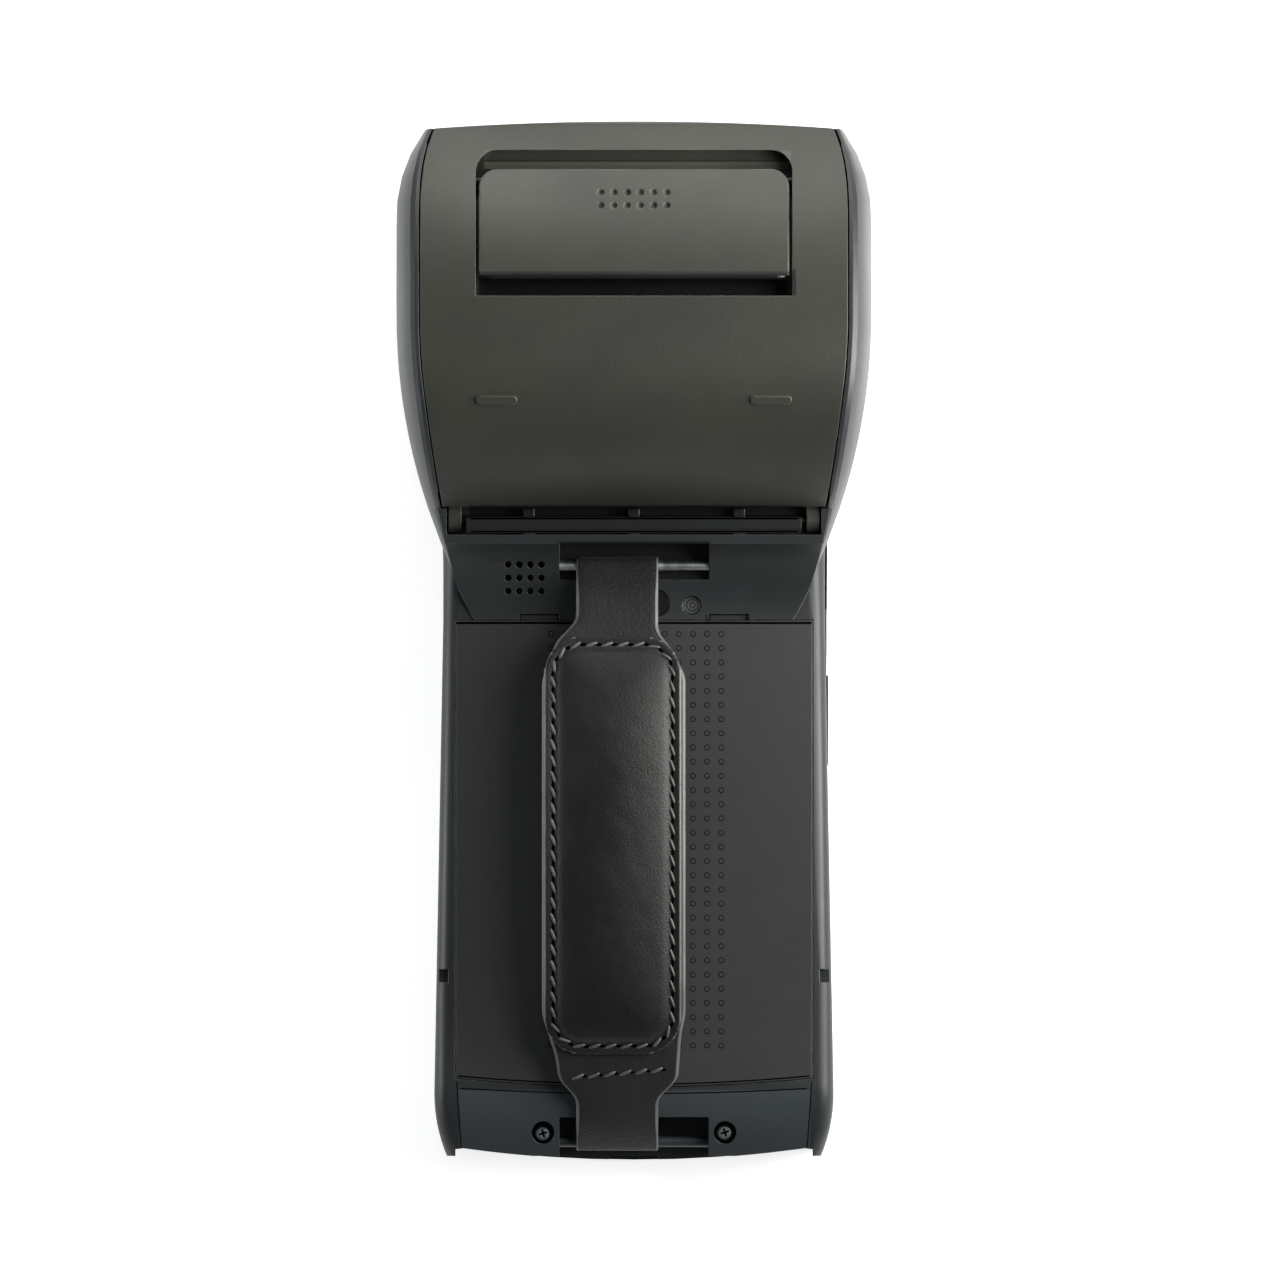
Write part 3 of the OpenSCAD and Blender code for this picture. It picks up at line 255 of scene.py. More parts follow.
def make_floor():
    """A pale floor that looks white and keeps a soft shadow; from below it lets the view through."""
    mesh = bmesh.new()
    bmesh.ops.create_grid(mesh, x_segments=1, y_segments=1, size=FLOOR_REACH)
    data = bpy.data.meshes.new("floor")
    mesh.to_mesh(data)
    mesh.free()
    floor = bpy.data.objects.new("floor", data)
    scene.collection.objects.link(floor)
    floor.location.z = -FLOOR_BELOW
    material = bpy.data.materials.new("floor")
    material.use_nodes = True
    tree = material.node_tree
    tree.nodes.clear()
    paint = tree.nodes.new("ShaderNodeBsdfDiffuse")
    paint.inputs["Color"].default_value = FLOOR_PAINT
    glow = tree.nodes.new("ShaderNodeEmission")
    tree.links.new(seen_directly(tree), glow.inputs["Strength"])
    glow.inputs["Color"].default_value = FLOOR_GLOW
    lit = tree.nodes.new("ShaderNodeAddShader")
    tree.links.new(paint.outputs[0], lit.inputs[0])
    tree.links.new(glow.outputs[0], lit.inputs[1])
    clear = tree.nodes.new("ShaderNodeBsdfTransparent")
    mix = tree.nodes.new("ShaderNodeMixShader")
    tree.links.new(tree.nodes.new("ShaderNodeNewGeometry").outputs["Backfacing"], mix.inputs[0])
    tree.links.new(lit.outputs[0], mix.inputs[1])
    tree.links.new(clear.outputs[0], mix.inputs[2])
    output = tree.nodes.new("ShaderNodeOutputMaterial")
    tree.links.new(mix.outputs[0], output.inputs[0])
    data.materials.append(material)


make_camera()
make_world()
make_floor()
for lamp, settings in LAMPS.items():
    area_light(lamp, *settings)
scene.view_settings.view_transform = "Standard"


# Materials. First the waves in a metre of each texture
PLASTIC_CLOUDS, PLASTIC_WEAR, PLASTIC_HANDLING = 45, 260, 22
LEATHER_CLOUDS, LEATHER_STRETCH = 75, 220
METAL_SCRATCHES, METAL_STAINS, SKIN_CLOUDS = 900, 120, 160
BOARD_TRACES, BOARD_CLOUDS, FINGER_MARKS = 160, 90, 55
EDGE_SHARPNESS = 6
EDGE_ROUNDING_R = 0.1 * MM
ZONE_SOFTNESS = 0.15 * MM
WEAR_SAMPLES, ROUND_SAMPLES = 4, 6
LAYER_PITCH = 0.28 * MM
LENS_PITCH = 0.62 * MM

# Sockets of the Mix node that hold its two colours, and the mixed one
MIX_FIRST, MIX_SECOND, MIXED = 6, 7, 2


class Finish:
    """A material on the Principled shader. Textures are laid out in the piece's own metres."""

    def __init__(self, name, roughness=0.5, **fixed):
        self.material = bpy.data.materials.new(name)
        self.material.use_nodes = True
        self.tree = self.material.node_tree
        self.shader = self.tree.nodes["Principled BSDF"]
        self.place = self.tree.nodes.new("ShaderNodeTexCoord").outputs["Object"]
        self.shader.inputs["Roughness"].default_value = roughness
        for socket, value in fixed.items():
            self.shader.inputs[socket.replace("_", " ")].default_value = value

    def node(self, kind, inputs=(), **settings):
        made = self.tree.nodes.new(kind)
        for key, value in settings.items():
            setattr(made, key, value)
        for key, value in dict(inputs).items():
            if isinstance(value, bpy.types.NodeSocket):
                self.tree.links.new(value, made.inputs[key])
            else:
                made.inputs[key].default_value = value
        return made

    def stretched(self, scale):
        """Coordinates stretched by a factor along each axis."""
        return self.node("ShaderNodeMapping", {"Vector": self.place, "Scale": scale}).outputs[0]

    def noise(self, scale, detail=2, vector=None):
        inputs = {"Vector": vector or self.place, "Scale": scale, "Detail": detail}
        return self.node("ShaderNodeTexNoise", inputs).outputs["Fac"]

    def cells(self, scale, feature="F1"):
        inputs = {"Vector": self.place, "Scale": scale}
        return self.node("ShaderNodeTexVoronoi", inputs, feature=feature).outputs["Distance"]

    def between(self, value, low=0.3, high=0.7, to_low=0, to_high=1):
        """Maps value from one range, at first that of most noise, to another, within the second."""
        inputs = {"Value": value, "From Min": low, "From Max": high,
                  "To Min": to_low, "To Max": to_high}
        return self.node("ShaderNodeMapRange", inputs).outputs[0]

    def combine(self, operation, a, b):
        return self.node("ShaderNodeMath", {0: a, 1: b}, operation=operation).outputs[0]

    def blend(self, factor, a, b):
        """Colour between two, either of them a hex code or another node's colour."""
        first, second = (srgb(c) if isinstance(c, str) else c for c in (a, b))
        inputs = {0: factor, MIX_FIRST: first, MIX_SECOND: second}
        return self.node("ShaderNodeMix", inputs, data_type="RGBA").outputs[MIXED]

    def vector(self, operation, *inputs):
        return self.node("ShaderNodeVectorMath", dict(enumerate(inputs)), operation=operation)

    def distance(self, centre, axes):
        """How far a point lies from a centre, along the axes that count."""
        away = self.vector("SUBTRACT", self.place, centre).outputs[0]
        flat = self.vector("MULTIPLY", away, axes).outputs[0]
        return self.vector("LENGTH", flat).outputs["Value"]

    def waves(self, value, length):
        """Rises and falls between -1 and 1, once in each length."""
        return self.combine("SINE", self.combine("MULTIPLY", value, math.tau / length), 0)

    def edge(self, radius):
        """1 along worn edges, 0 on flats."""
        rounded = self.node("ShaderNodeBevel", {"Radius": radius}, samples=WEAR_SAMPLES).outputs[0]
        flat = self.node("ShaderNodeNewGeometry").outputs["Normal"]
        same = self.vector("DOT_PRODUCT", rounded, flat).outputs["Value"]
        return self.between(same, 1 - 1 / EDGE_SHARPNESS, 1, 1, 0)

    def within(self, corners):
        """1 inside a box given by its corners in the photograph, 0 outside, seen from above."""
        first, last = at_pixel(*corners[:2]), at_pixel(*corners[2:])
        middle, half = (first + last) / 2, (last - first) / 2
        away = self.vector("SUBTRACT", self.place, middle).outputs[0]
        away = self.vector("ABSOLUTE", away).outputs[0]
        parts = self.node("ShaderNodeSeparateXYZ", {0: away}).outputs
        past = self.combine("MAXIMUM", self.combine("SUBTRACT", parts["X"], abs(half.x)),
                            self.combine("SUBTRACT", parts["Y"], abs(half.y)))
        return self.between(past, -ZONE_SOFTNESS, 0, 1, 0)

    def colour(self, value):
        self.tree.links.new(value, self.shader.inputs["Base Color"])

    def rough(self, value):
        self.tree.links.new(value, self.shader.inputs["Roughness"])

    def relief(self, height, depth, round_edges=0):
        """Bump of a real depth, over edges that are rounded by a radius."""
        inputs = {"Height": height, "Distance": depth, "Strength": 1}
        if round_edges:
            rounded = self.node("ShaderNodeBevel", {"Radius": round_edges}, samples=ROUND_SAMPLES)
            inputs["Normal"] = rounded.outputs[0]
        bump = self.node("ShaderNodeBump", inputs)
        self.tree.links.new(bump.outputs[0], self.shader.inputs["Normal"])


def moulded_plastic(name, dark, light, worn, roughness, grain, grain_size=0.22 * MM,
                    edge=0.22 * MM, gloss=0.3, light_and_shade_zones=()):
    """Moulded plastic with a spark-eroded grain, faint clouds of colour and paler, smoother edges.

    Zones are boxes of the photograph, each with a colour painted over the plastic there: painted shade in
    recesses, slots, gaps and notches and along the lever's edge and the pocket's top wall, and painted
    light on the end cap and the pocket's ramp.
    """
    f = Finish(name, IOR=1.5, Specular_IOR_Level=gloss)
    clouds = f.noise(PLASTIC_CLOUDS, 4)
    specks = f.noise(1 / (1.7 * grain_size), 3)
    body = f.blend(f.between(clouds), dark, light)
    body = f.blend(f.between(specks, 0.52, 0.78, to_high=0.35), body, light)
    mask = f.combine("MULTIPLY", f.edge(edge), f.between(f.noise(PLASTIC_WEAR, 3), high=0.62))
    shade = f.blend(mask, body, worn)
    # Painted light and shade: each zone lays its colour over the plastic inside its box
    for corners, colour in light_and_shade_zones:
        shade = f.blend(f.within(corners), shade, colour)
    f.colour(shade)
    handled = f.between(f.noise(PLASTIC_HANDLING, 3), 0.35, 0.7, roughness + 0.06, roughness - 0.05)
    f.rough(f.combine("SUBTRACT", handled, f.combine("MULTIPLY", mask, 0.12)))
    f.relief(f.noise(1 / grain_size, 1), grain, edge)
    return f.material


def leather(name, dark, light, roughness, pebble, depth):
    """Leather with pebbled grain, pores and faint stretch marks along the strap."""
    f = Finish(name, Sheen_Weight=0.04, Sheen_Roughness=0.5, Specular_IOR_Level=0.26)
    grain = f.cells(1 / pebble, "SMOOTH_F1")
    pores = f.cells(0.45 / pebble)
    clouds = f.noise(LEATHER_CLOUDS, 5)
    stretch = f.noise(LEATHER_STRETCH, 4, f.stretched((1, 0.18, 0.18)))
    marks = f.between(stretch, 0.45, 0.75, to_high=0.35)
    tone = f.combine("ADD", f.between(clouds, 0.3, 0.72, to_high=0.7), marks)
    tone = f.combine("SUBTRACT", tone, f.between(grain, 0.3, 0.75, to_high=0.3))
    f.colour(f.blend(tone, dark, light))
    handled = f.combine("ADD", clouds, f.between(grain, 0.2, 0.8, to_high=0.5))
    f.rough(f.between(handled, 0.4, 1.1, roughness - 0.07, roughness + 0.1))
    height = f.combine("ADD", f.between(grain, 0.1, 0.75, 1, 0), f.between(pores, 0.05, 0.3, to_high=0.6))
    f.relief(height, depth)
    return f.material


def metal(name, dark, light, roughness, brush=(1, 1, 1), scratches=METAL_SCRATCHES, metallic=1.0):
    """Metal with a brushed or rolled grain, drawn out along the axes where brush is small."""
    f = Finish(name, Metallic=metallic)
    lines = f.noise(scratches, 4, f.stretched(brush))
    stains = f.noise(METAL_STAINS, 4)
    tone = f.combine("ADD", f.between(lines, to_high=0.6), f.between(stains, 0.35, to_high=0.4))
    f.colour(f.blend(tone, dark, light))
    both = f.combine("ADD", lines, stains)
    f.rough(f.between(both, 0.7, 1.3, roughness - 0.07, roughness + 0.1))
    f.relief(lines, 0.004 * MM, EDGE_ROUNDING_R)
    return f.material


def soft_plastic(name, dark, light, roughness, depth=0.01 * MM, size=0.3 * MM, **fixed):
    """Smooth technical plastic, rubber or lacquer with a fine skin."""
    f = Finish(name, **fixed)
    clouds = f.noise(SKIN_CLOUDS, 4)
    f.colour(f.blend(f.between(clouds), dark, light))
    f.rough(f.between(clouds, to_low=roughness - 0.05, to_high=roughness + 0.06))
    f.relief(f.noise(1 / size, 2), depth, EDGE_ROUNDING_R)
    return f.material


def paper_finish(name, dark, light, fibre, depth):
    """Paper or card with fibres, and layers that show as rings on the ends of a roll."""
    f = Finish(name, Specular_IOR_Level=0.25)
    low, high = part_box("paper_roll")
    layers = f.waves(f.distance((low + high) / 2, axes=(0, 1, 1)), LAYER_PITCH)
    side = f.node("ShaderNodeSeparateXYZ", {0: f.node("ShaderNodeNewGeometry").outputs["Normal"]})
    end = f.combine("ABSOLUTE", side.outputs["X"], 0)
    rings = f.combine("MULTIPLY", f.between(layers, -1, 1), f.between(end, 0.7, 0.9))
    fibres = f.noise(1 / fibre, 4)
    tone = f.combine("ADD", f.between(fibres, to_high=0.6), f.combine("MULTIPLY", rings, 0.4))
    f.colour(f.blend(tone, light, dark))
    f.rough(f.between(fibres, to_low=0.75, to_high=0.9))
    f.relief(f.combine("ADD", fibres, rings), depth)
    return f.material


def circuit_board():
    """Green solder mask with traces that run under it."""
    f = Finish("circuit_board", Coat_Weight=0.3, Coat_Roughness=0.2)
    bricks = {"Vector": f.place, "Scale": BOARD_TRACES, "Mortar Size": 0.06, "Mortar Smooth": 0.1}
    grid = f.node("ShaderNodeTexBrick", bricks).outputs["Fac"]
    tone = f.combine("ADD", f.combine("MULTIPLY", grid, 0.5), f.noise(BOARD_CLOUDS, 3))
    f.colour(f.blend(tone, "123c28", "2c7350"))
    f.rough(f.between(grid, 0, 1, 0.42, 0.3))
    f.relief(grid, 0.02 * MM, EDGE_ROUNDING_R)
    return f.material


def lighter(code, factor):
    """A hex code made lighter by a factor."""
    return "".join(f"{min(255, int(int(code[i:i + 2], 16) * factor)):02x}" for i in (0, 2, 4))


def glass(name, tint, roughness):
    """Cover glass with faint finger marks. The tint is the dark print behind it."""
    f = Finish(name, IOR=1.52, Coat_Weight=0.5, Coat_Roughness=0.03)
    marks = f.noise(FINGER_MARKS, 5)
    f.colour(f.blend(f.between(marks, 0.35), tint, lighter(tint, 1.5)))
    f.rough(f.between(marks, 0.5, 0.75, roughness, roughness + 0.12))
    return f.material


def ringed_lens(name, node):
    """Dark clear plastic with the fine rings of a flash lens round the middle of a node."""
    f = Finish(name, IOR=1.5, Coat_Weight=0.5, Coat_Roughness=0.05)
    low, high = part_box(node)
    rings = f.between(f.waves(f.distance((low + high) / 2, axes=(1, 1, 0)), LENS_PITCH), -1, 1)
    f.colour(f.blend(rings, "0c0d0e", "3c3e3f"))
    f.rough(f.between(rings, 0, 1, 0.3, 0.16))
    f.relief(rings, 0.03 * MM, EDGE_ROUNDING_R)
    return f.material


# Each plastic has its dark, light and worn colour, its roughness, and the depth of its grain
finishes = {
    # Housing: painted shade in the strap recess, the foot slot, the hinge gap and the tab notches, and
    # painted light on the end cap
    "housing": moulded_plastic("housing", "191c1d", "232627", "474b4c", 0.4, 0.007 * MM, 0.16 * MM,
                               light_and_shade_zones=[(STRAP_RECESS_SHADE_PX, "020303"), (END_CAP_LIGHT_PX, "2c3134"),
                                      (FOOT_SLOT_SHADE_PX, "020303"), (HINGE_GAP_SHADE_PX, "040404")]
                               + [(tab, "020303") for tab in COVER_TAB_SHADE_PX]),
    # Lid: painted shade in the lever's gap, the hinge gap and under the pocket's top wall, and a painted
    # highlight on the pocket's ramp
    "lid_plastic": moulded_plastic("lid_plastic", "1e1f1b", "292b24", "56584e", 0.45, 0.022 * MM,
                                   gloss=0.38,
                                   light_and_shade_zones=((LEVER_GAP_SHADE_PX, "020303"), (HINGE_GAP_SHADE_PX, "040404"),
                                          (POCKET_TOP_SHADE_PX, "34362f"), (POCKET_RAMP_HIGHLIGHT_PX, "55574d"))),
    # Lever: a band of painted shade along its lower edge
    "lever_plastic": moulded_plastic("lever_plastic", "1e1f1b", "292b24", "56584e", 0.45, 0.022 * MM,
                                     edge=0.7 * MM, gloss=0.42, light_and_shade_zones=((LEVER_EDGE_SHADE_PX, "0c0d0c"),)),
    # Cover: painted shade in the tab notches
    "cover_plastic": moulded_plastic("cover_plastic", "171818", "202121", "464744", 0.42, 0.016 * MM,
                                     gloss=0.48, light_and_shade_zones=[(tab, "040404") for tab in COVER_TAB_SHADE_PX]),
    "strip_plastic": moulded_plastic("strip_plastic", "0e0f10", "17191a", "2a2b2c", 0.4, 0.006 * MM,
                                     gloss=0.2),
    "key_plastic": moulded_plastic("key_plastic", "2a2c2e", "36383a", "606264", 0.4, 0.008 * MM),
    "bin_plastic": moulded_plastic("bin_plastic", "232627", "303334", "505354", 0.5, 0.012 * MM),
    "contact_plastic": soft_plastic("contact_plastic", "15181a", "212426", 0.45),
    "switch_plastic": soft_plastic("switch_plastic", "b9b4a5", "cfcabb", 0.4),
    "gear_plastic": soft_plastic("gear_plastic", "d8d4c6", "e9e6dc", 0.38, Subsurface_Weight=0.15,
                                 Subsurface_Scale=0.5 * MM),
    "platen_rubber": soft_plastic("platen_rubber", "161717", "242525", 0.72, 0.02 * MM, 0.18 * MM),
    "battery_wrap": soft_plastic("battery_wrap", "1b2534", "27334a", 0.3, 0.02 * MM, 0.9 * MM),
    "bright_steel": metal("bright_steel", "9c9fa2", "cfd2d4", 0.25, (0.15, 1, 1)),
    "black_steel": metal("black_steel", "1a1b1c", "333536", 0.38, metallic=0.8),
    "chassis_steel": metal("chassis_steel", "85898c", "b0b4b6", 0.36, (1, 0.2, 0.2), 700),
    "aluminium": metal("aluminium", "8f9396", "b9bdc0", 0.32, (1, 1, 0.1)),
    "dark_metal": metal("dark_metal", "2a2d2f", "464a4d", 0.42, (0.3, 1, 1)),
    "bush_brass": metal("bush_brass", "9a7430", "c79c4c", 0.3, (1, 0.3, 0.3)),
    "paper": paper_finish("paper", "d3d0c5", "f1efe8", 0.35 * MM, 0.01 * MM),
    "cardboard": paper_finish("cardboard", "8f7650", "b89b72", 0.5 * MM, 0.03 * MM),
    "circuit_board": circuit_board(),
    "cover_glass": glass("cover_glass", "060708", 0.05),
    "lens": glass("lens", "050608", 0.04),
    "flash_lens": ringed_lens("flash_lens", "flash_window"),
    "strap_leather": leather("strap_leather", "0c0e0d", "191b19", 0.56, 0.55 * MM, 0.05 * MM),
    "pad_leather": leather("pad_leather", "060707", "101111", 0.5, 0.4 * MM, 0.025 * MM),
}

# Finishes of pieces that have no slot of their own
# Painted shade: a near-black without gloss, laid on joint lines, stitch holes and screw recesses where
# only shade lies
painted_shade_black = soft_plastic("painted_shade_black", "010101", "030303", 0.8, Specular_IOR_Level=0)
leather_edge = soft_plastic("leather_edge", "3d3e3c", "565755", 0.5, 0.02 * MM, 0.4 * MM)
# Painted shade: near-black without gloss for the outer rings of the grip dots, standing in for the shade
# round each dot
painted_dot_shade = moulded_plastic("painted_dot_shade", "040505", "0a0a0a", "1c1d1c", 0.5, 0.016 * MM, gloss=0.05)
thread = soft_plastic("thread", "2a2b2a", "484947", 0.55, 0.03 * MM, 0.15 * MM, Sheen_Weight=0.1)

# Pieces whose finish in the photograph differs from others of their slot
OWN_FINISH = {"latch_shaft": "black_steel", "hinge_pin": "black_steel", "strap_bar": "chassis_steel",
              "hinge_strip": "strip_plastic", "release_lever": "lever_plastic"}


def finish_solids():
    """The solids keep their meshes; they get better materials by the names of their slots."""
    for node in nodes.values():
        for place in node.material_slots:
            place.material = finishes[place.material.name.split(".")[0]]
    for name, finish in OWN_FINISH.items():
        nodes[name].material_slots[0].material = finishes[finish]


# Moulded solids whose curved faces come as narrow flats, and the angle from which their edges are sharp
CURVED = ("rear_shell", "front_shell", "printer_lid", "release_lever", "battery_cover")
SHARP = math.radians(24)
SAME_POINT = 0.001 * MM
EVEN_WEIGHT = 50


def smooth_shading(node):
    """Shades narrow flats as one curve and keeps true edges sharp. No vertex moves."""
    for face in node.data.polygons:
        face.use_smooth = True
    node.modifiers.new("weld", "WELD").merge_threshold = SAME_POINT
    node.modifiers.new("split", "EDGE_SPLIT").split_angle = SHARP
    node.modifiers.new("weighted", "WEIGHTED_NORMAL").weight = EVEN_WEIGHT


finish_solids()
for curved in CURVED:
    smooth_shading(nodes[curved])


# Strap: its leather, the bars it bends round, and the angles and handles of its curve over the cover
LEATHER_T = 1.2 * MM
PARED_T = 0.65 * MM
PARED_TO, FULL_FROM = 1.5 * MM, 8 * MM
BAR_R = 1.0 * MM
LOOP_GAP = 0.05 * MM
LOOP_R = BAR_R + LOOP_GAP + PARED_T / 2
SOLID_LOOP = 2.35 * MM
LOWER_ANGLE = math.radians(55)
UPPER_ANGLE = math.radians(25)
LOWER_HANDLE = 19 * MM
UPPER_HANDLE = 35 * MM
CURVE_STEPS = 300
web_low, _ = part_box("strap_web")
bar_low, bar_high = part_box("strap_bar")
UPPER_BAR = Vector((0, (bar_low.y + bar_high.y) / 2, (bar_low.z + bar_high.z) / 2))
LOWER_BAR = Vector((0, web_low.y, web_low.z)) + Vector((0, 1, 1)) * SOLID_LOOP


def bezier(a, b, c, d, t):
    return a * (1 - t) ** 3 + b * 3 * t * (1 - t) ** 2 + c * 3 * t * t * (1 - t) + d * t ** 3


class Line:
    """A line in the plane across x, with the length along it and the normal at each length."""

    normal_step = 0.5 * MM

    def __init__(self, points):
        self.points = points
        self.lengths = [0]
        for a, b in zip(points, points[1:]):
            self.lengths.append(self.lengths[-1] + (b - a).length)
        self.length = self.lengths[-1]

    def at(self, s):
        i = min(max(bisect.bisect(self.lengths, s) - 1, 0), len(self.points) - 2)
        a, b = self.points[i], self.points[i + 1]
        share = (s - self.lengths[i]) / (self.lengths[i + 1] - self.lengths[i])
        return a.lerp(b, share)

    def normal(self, s):
        d = (self.at(s + self.normal_step) - self.at(s - self.normal_step)).normalized()
        return Vector((0, -d.z, d.y))

    def where(self, y):
        """The length at which the line passes y."""
        ys = [p.y for p in self.points]
        i = min(max(bisect.bisect(ys, y), 1), len(ys) - 1)
        share = (y - ys[i - 1]) / (ys[i] - ys[i - 1])
        return self.lengths[i - 1] + share * (self.lengths[i] - self.lengths[i - 1])


lower_out = Vector((0, math.cos(LOWER_ANGLE), math.sin(LOWER_ANGLE)))
lower_up = Vector((0, -math.sin(LOWER_ANGLE), math.cos(LOWER_ANGLE)))
upper_out = Vector((0, -math.cos(UPPER_ANGLE), math.sin(UPPER_ANGLE)))
upper_up = Vector((0, math.sin(UPPER_ANGLE), math.cos(UPPER_ANGLE)))
strap_start = LOWER_BAR + lower_up * LOOP_R
strap_end = UPPER_BAR + upper_up * LOOP_R
strap_line = Line([bezier(strap_start, strap_start + lower_out * LOWER_HANDLE,
                          strap_end + upper_out * UPPER_HANDLE, strap_end, i / CURVE_STEPS)
                   for i in range(CURVE_STEPS + 1)])

# Edges of the strap as y and x in millimetres: two tongues, a step below the patch and wide shoulders
RIGHT_EDGE = ((-86.8, 4.6), (-83.2, 8.4), (-74.6, 9), (-71, 9.8), (-6.6, 9.8), (-1.9, 7.5), (1.8, 4.6))
LEFT_EDGE = ((-86.8, -11), (-83.2, -14.4), (-78.6, -15), (-71, -17.5), (-7.4, -17.5), (0.1, -14.8),
             (3.9, -11))
EDGE_ROUNDING = 1.1
ROUNDING_STEPS = 4

# Flaps: where the leather ends under itself, the room between its layers, and the steps along the path
LOWER_FLAP_Y = -79.8 * MM
UPPER_FLAP_Y = -3 * MM
FLAP_GAP = 0.08 * MM
FLAP_CLOSING = 7 * MM
LOWER_FLAP_STEPS, LOOP_STEPS, WEB_STEPS, UPPER_FLAP_STEPS = 16, 14, 150, 12
EDGE_STEPS, FACE_STEPS = 6, 10


def straight_x(edge, y):
    """Place across the strap of an edge before its corners are rounded, in millimetres."""
    for (y0, x0), (y1, x1) in zip(edge, edge[1:]):
        if y0 <= y < y1:
            return x0 + (x1 - x0) * (y - y0) / (y1 - y0)
    return edge[0][1] if y < edge[0][0] else edge[-1][1]


def edge_x(edge, y):
    """Place across the strap of an edge where the strap passes y."""
    steps = range(-ROUNDING_STEPS, ROUNDING_STEPS + 1)
    near = [straight_x(edge, y / MM + EDGE_ROUNDING * k / ROUNDING_STEPS) for k in steps]
    return sum(near) / len(near) * MM


def leather_t(from_bar):
    """Thickness of the leather, which is pared where it bends round a bar."""
    return PARED_T + (LEATHER_T - PARED_T) * smooth(PARED_TO, FULL_FROM, from_bar)


def web_path():
    """Middle line of the leather, with its thickness, from the flap at the foot end to the upper flap."""
    def flap(s, from_bar):
        closing = 1 - smooth(0, FLAP_CLOSING, from_bar)
        drop = LEATHER_T + FLAP_GAP + closing * (2 * LOOP_R - LEATHER_T - FLAP_GAP)
        return strap_line.at(s) - strap_line.normal(s) * drop, leather_t(from_bar)

    def loop(bar, up, out):
        return [(bar + LOOP_R * (up * math.cos(a) - out * math.sin(a)), PARED_T)
                for a in (math.pi * i / LOOP_STEPS for i in range(1, LOOP_STEPS))]

    length = strap_line.length
    low_end, high_end = strap_line.where(LOWER_FLAP_Y), length - strap_line.where(UPPER_FLAP_Y)
    path = [flap(s, s) for s in (low_end * (1 - i / LOWER_FLAP_STEPS) for i in range(LOWER_FLAP_STEPS))]
    path += loop(LOWER_BAR, -lower_up, lower_out)
    along = [length * i / WEB_STEPS for i in range(WEB_STEPS + 1)]
    path += [(strap_line.at(s), leather_t(min(s, length - s))) for s in along]
    path += loop(UPPER_BAR, upper_up, upper_out)
    back = [high_end * i / UPPER_FLAP_STEPS for i in range(1, UPPER_FLAP_STEPS + 1)]
    return path + [flap(length - s, s) for s in back]


def make_web():
    """The leather strap: a band with rounded, paler cut edges, swept along its path."""
    path = web_path()
    flat = [k / FACE_STEPS for k in range(FACE_STEPS)]
    bends = [math.pi * k / EDGE_STEPS for k in range(EDGE_STEPS)]
    paints = ([0] * FACE_STEPS + [1] * EDGE_STEPS) * 2
    mesh = bmesh.new()
    rings = []
    for i, (p, thickness) in enumerate(path):
        r = thickness / 2
        a, b = path[max(i - 1, 0)][0], path[min(i + 1, len(path) - 1)][0]
        d = (b - a).normalized()
        up = Vector((0, -d.z, d.y))
        left, right = edge_x(LEFT_EDGE, p.y) + r, edge_x(RIGHT_EDGE, p.y) - r
        wide = right - left
        section = [(left + wide * t, r) for t in flat]
        section += [(right + r * math.sin(turn), r * math.cos(turn)) for turn in bends]
        section += [(right - wide * t, -r) for t in flat]
        section += [(left - r * math.sin(turn), -r * math.cos(turn)) for turn in bends]
        rings.append([mesh.verts.new(p + up * h + Vector((x, 0, 0))) for x, h in section])
    for low, high in zip(rings, rings[1:]):
        for face, paint in zip(bridge(mesh, low, high), paints):
            face.material_index = paint
    for ring in (rings[0], rings[-1]):
        mesh.faces.new(ring).material_index = 1
    bmesh.ops.recalc_face_normals(mesh, faces=mesh.faces)
    web = mesh_object("strap_leather", mesh, "housing",
                      [finishes["strap_leather"], leather_edge])
    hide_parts("strap_web")


# The padded patch is worked out flat: x across, s along the strap from its middle, h over the leather
PATCH_X = -4.05 * MM
PATCH_HALF = 13.15 * MM
PATCH_FROM = strap_line.where(-78.3 * MM)
PATCH_TO = strap_line.where(0.95 * MM)
PATCH_MIDDLE = (PATCH_FROM + PATCH_TO) / 2
PATCH_REACH = (PATCH_TO - PATCH_FROM) / 2
PATCH_CORNER = 7.5 * MM
PATCH_T = 0.9 * MM
PAD_H = 2.1 * MM
STITCH_INSET = 1.85 * MM
PAD_INSET = 2.7 * MM
GROOVE = 0.8 * MM
GROOVE_DEPTH = 0.3 * MM
CUT_EDGE = 0.28 * MM
OVER_LEATHER = 0.02 * MM
RIM_POINTS = 120

# The simulation runs at a larger scale. Its swelling is mixed with an even crown and capped
SIM_SCALE = 20
SIM_FRAMES = 20
VOXEL = 0.62 * MM
CLOTH_SHARE = 0.6
HIGH_SHARE = 0.995
SWELL_CAP = 1.08
SIDE_CAP = 1 * MM
RIPPLE, RIPPLE_SCALE = 0.07 * MM, 0.35 / MM


def inside(x, s):
    """How far a flat point lies inside the patch's outline."""
    dx, ds = abs(x) - (PATCH_HALF - PATCH_CORNER), abs(s) - (PATCH_REACH - PATCH_CORNER)
    return PATCH_CORNER - (math.hypot(max(dx, 0), max(ds, 0)) + min(max(dx, ds), 0))


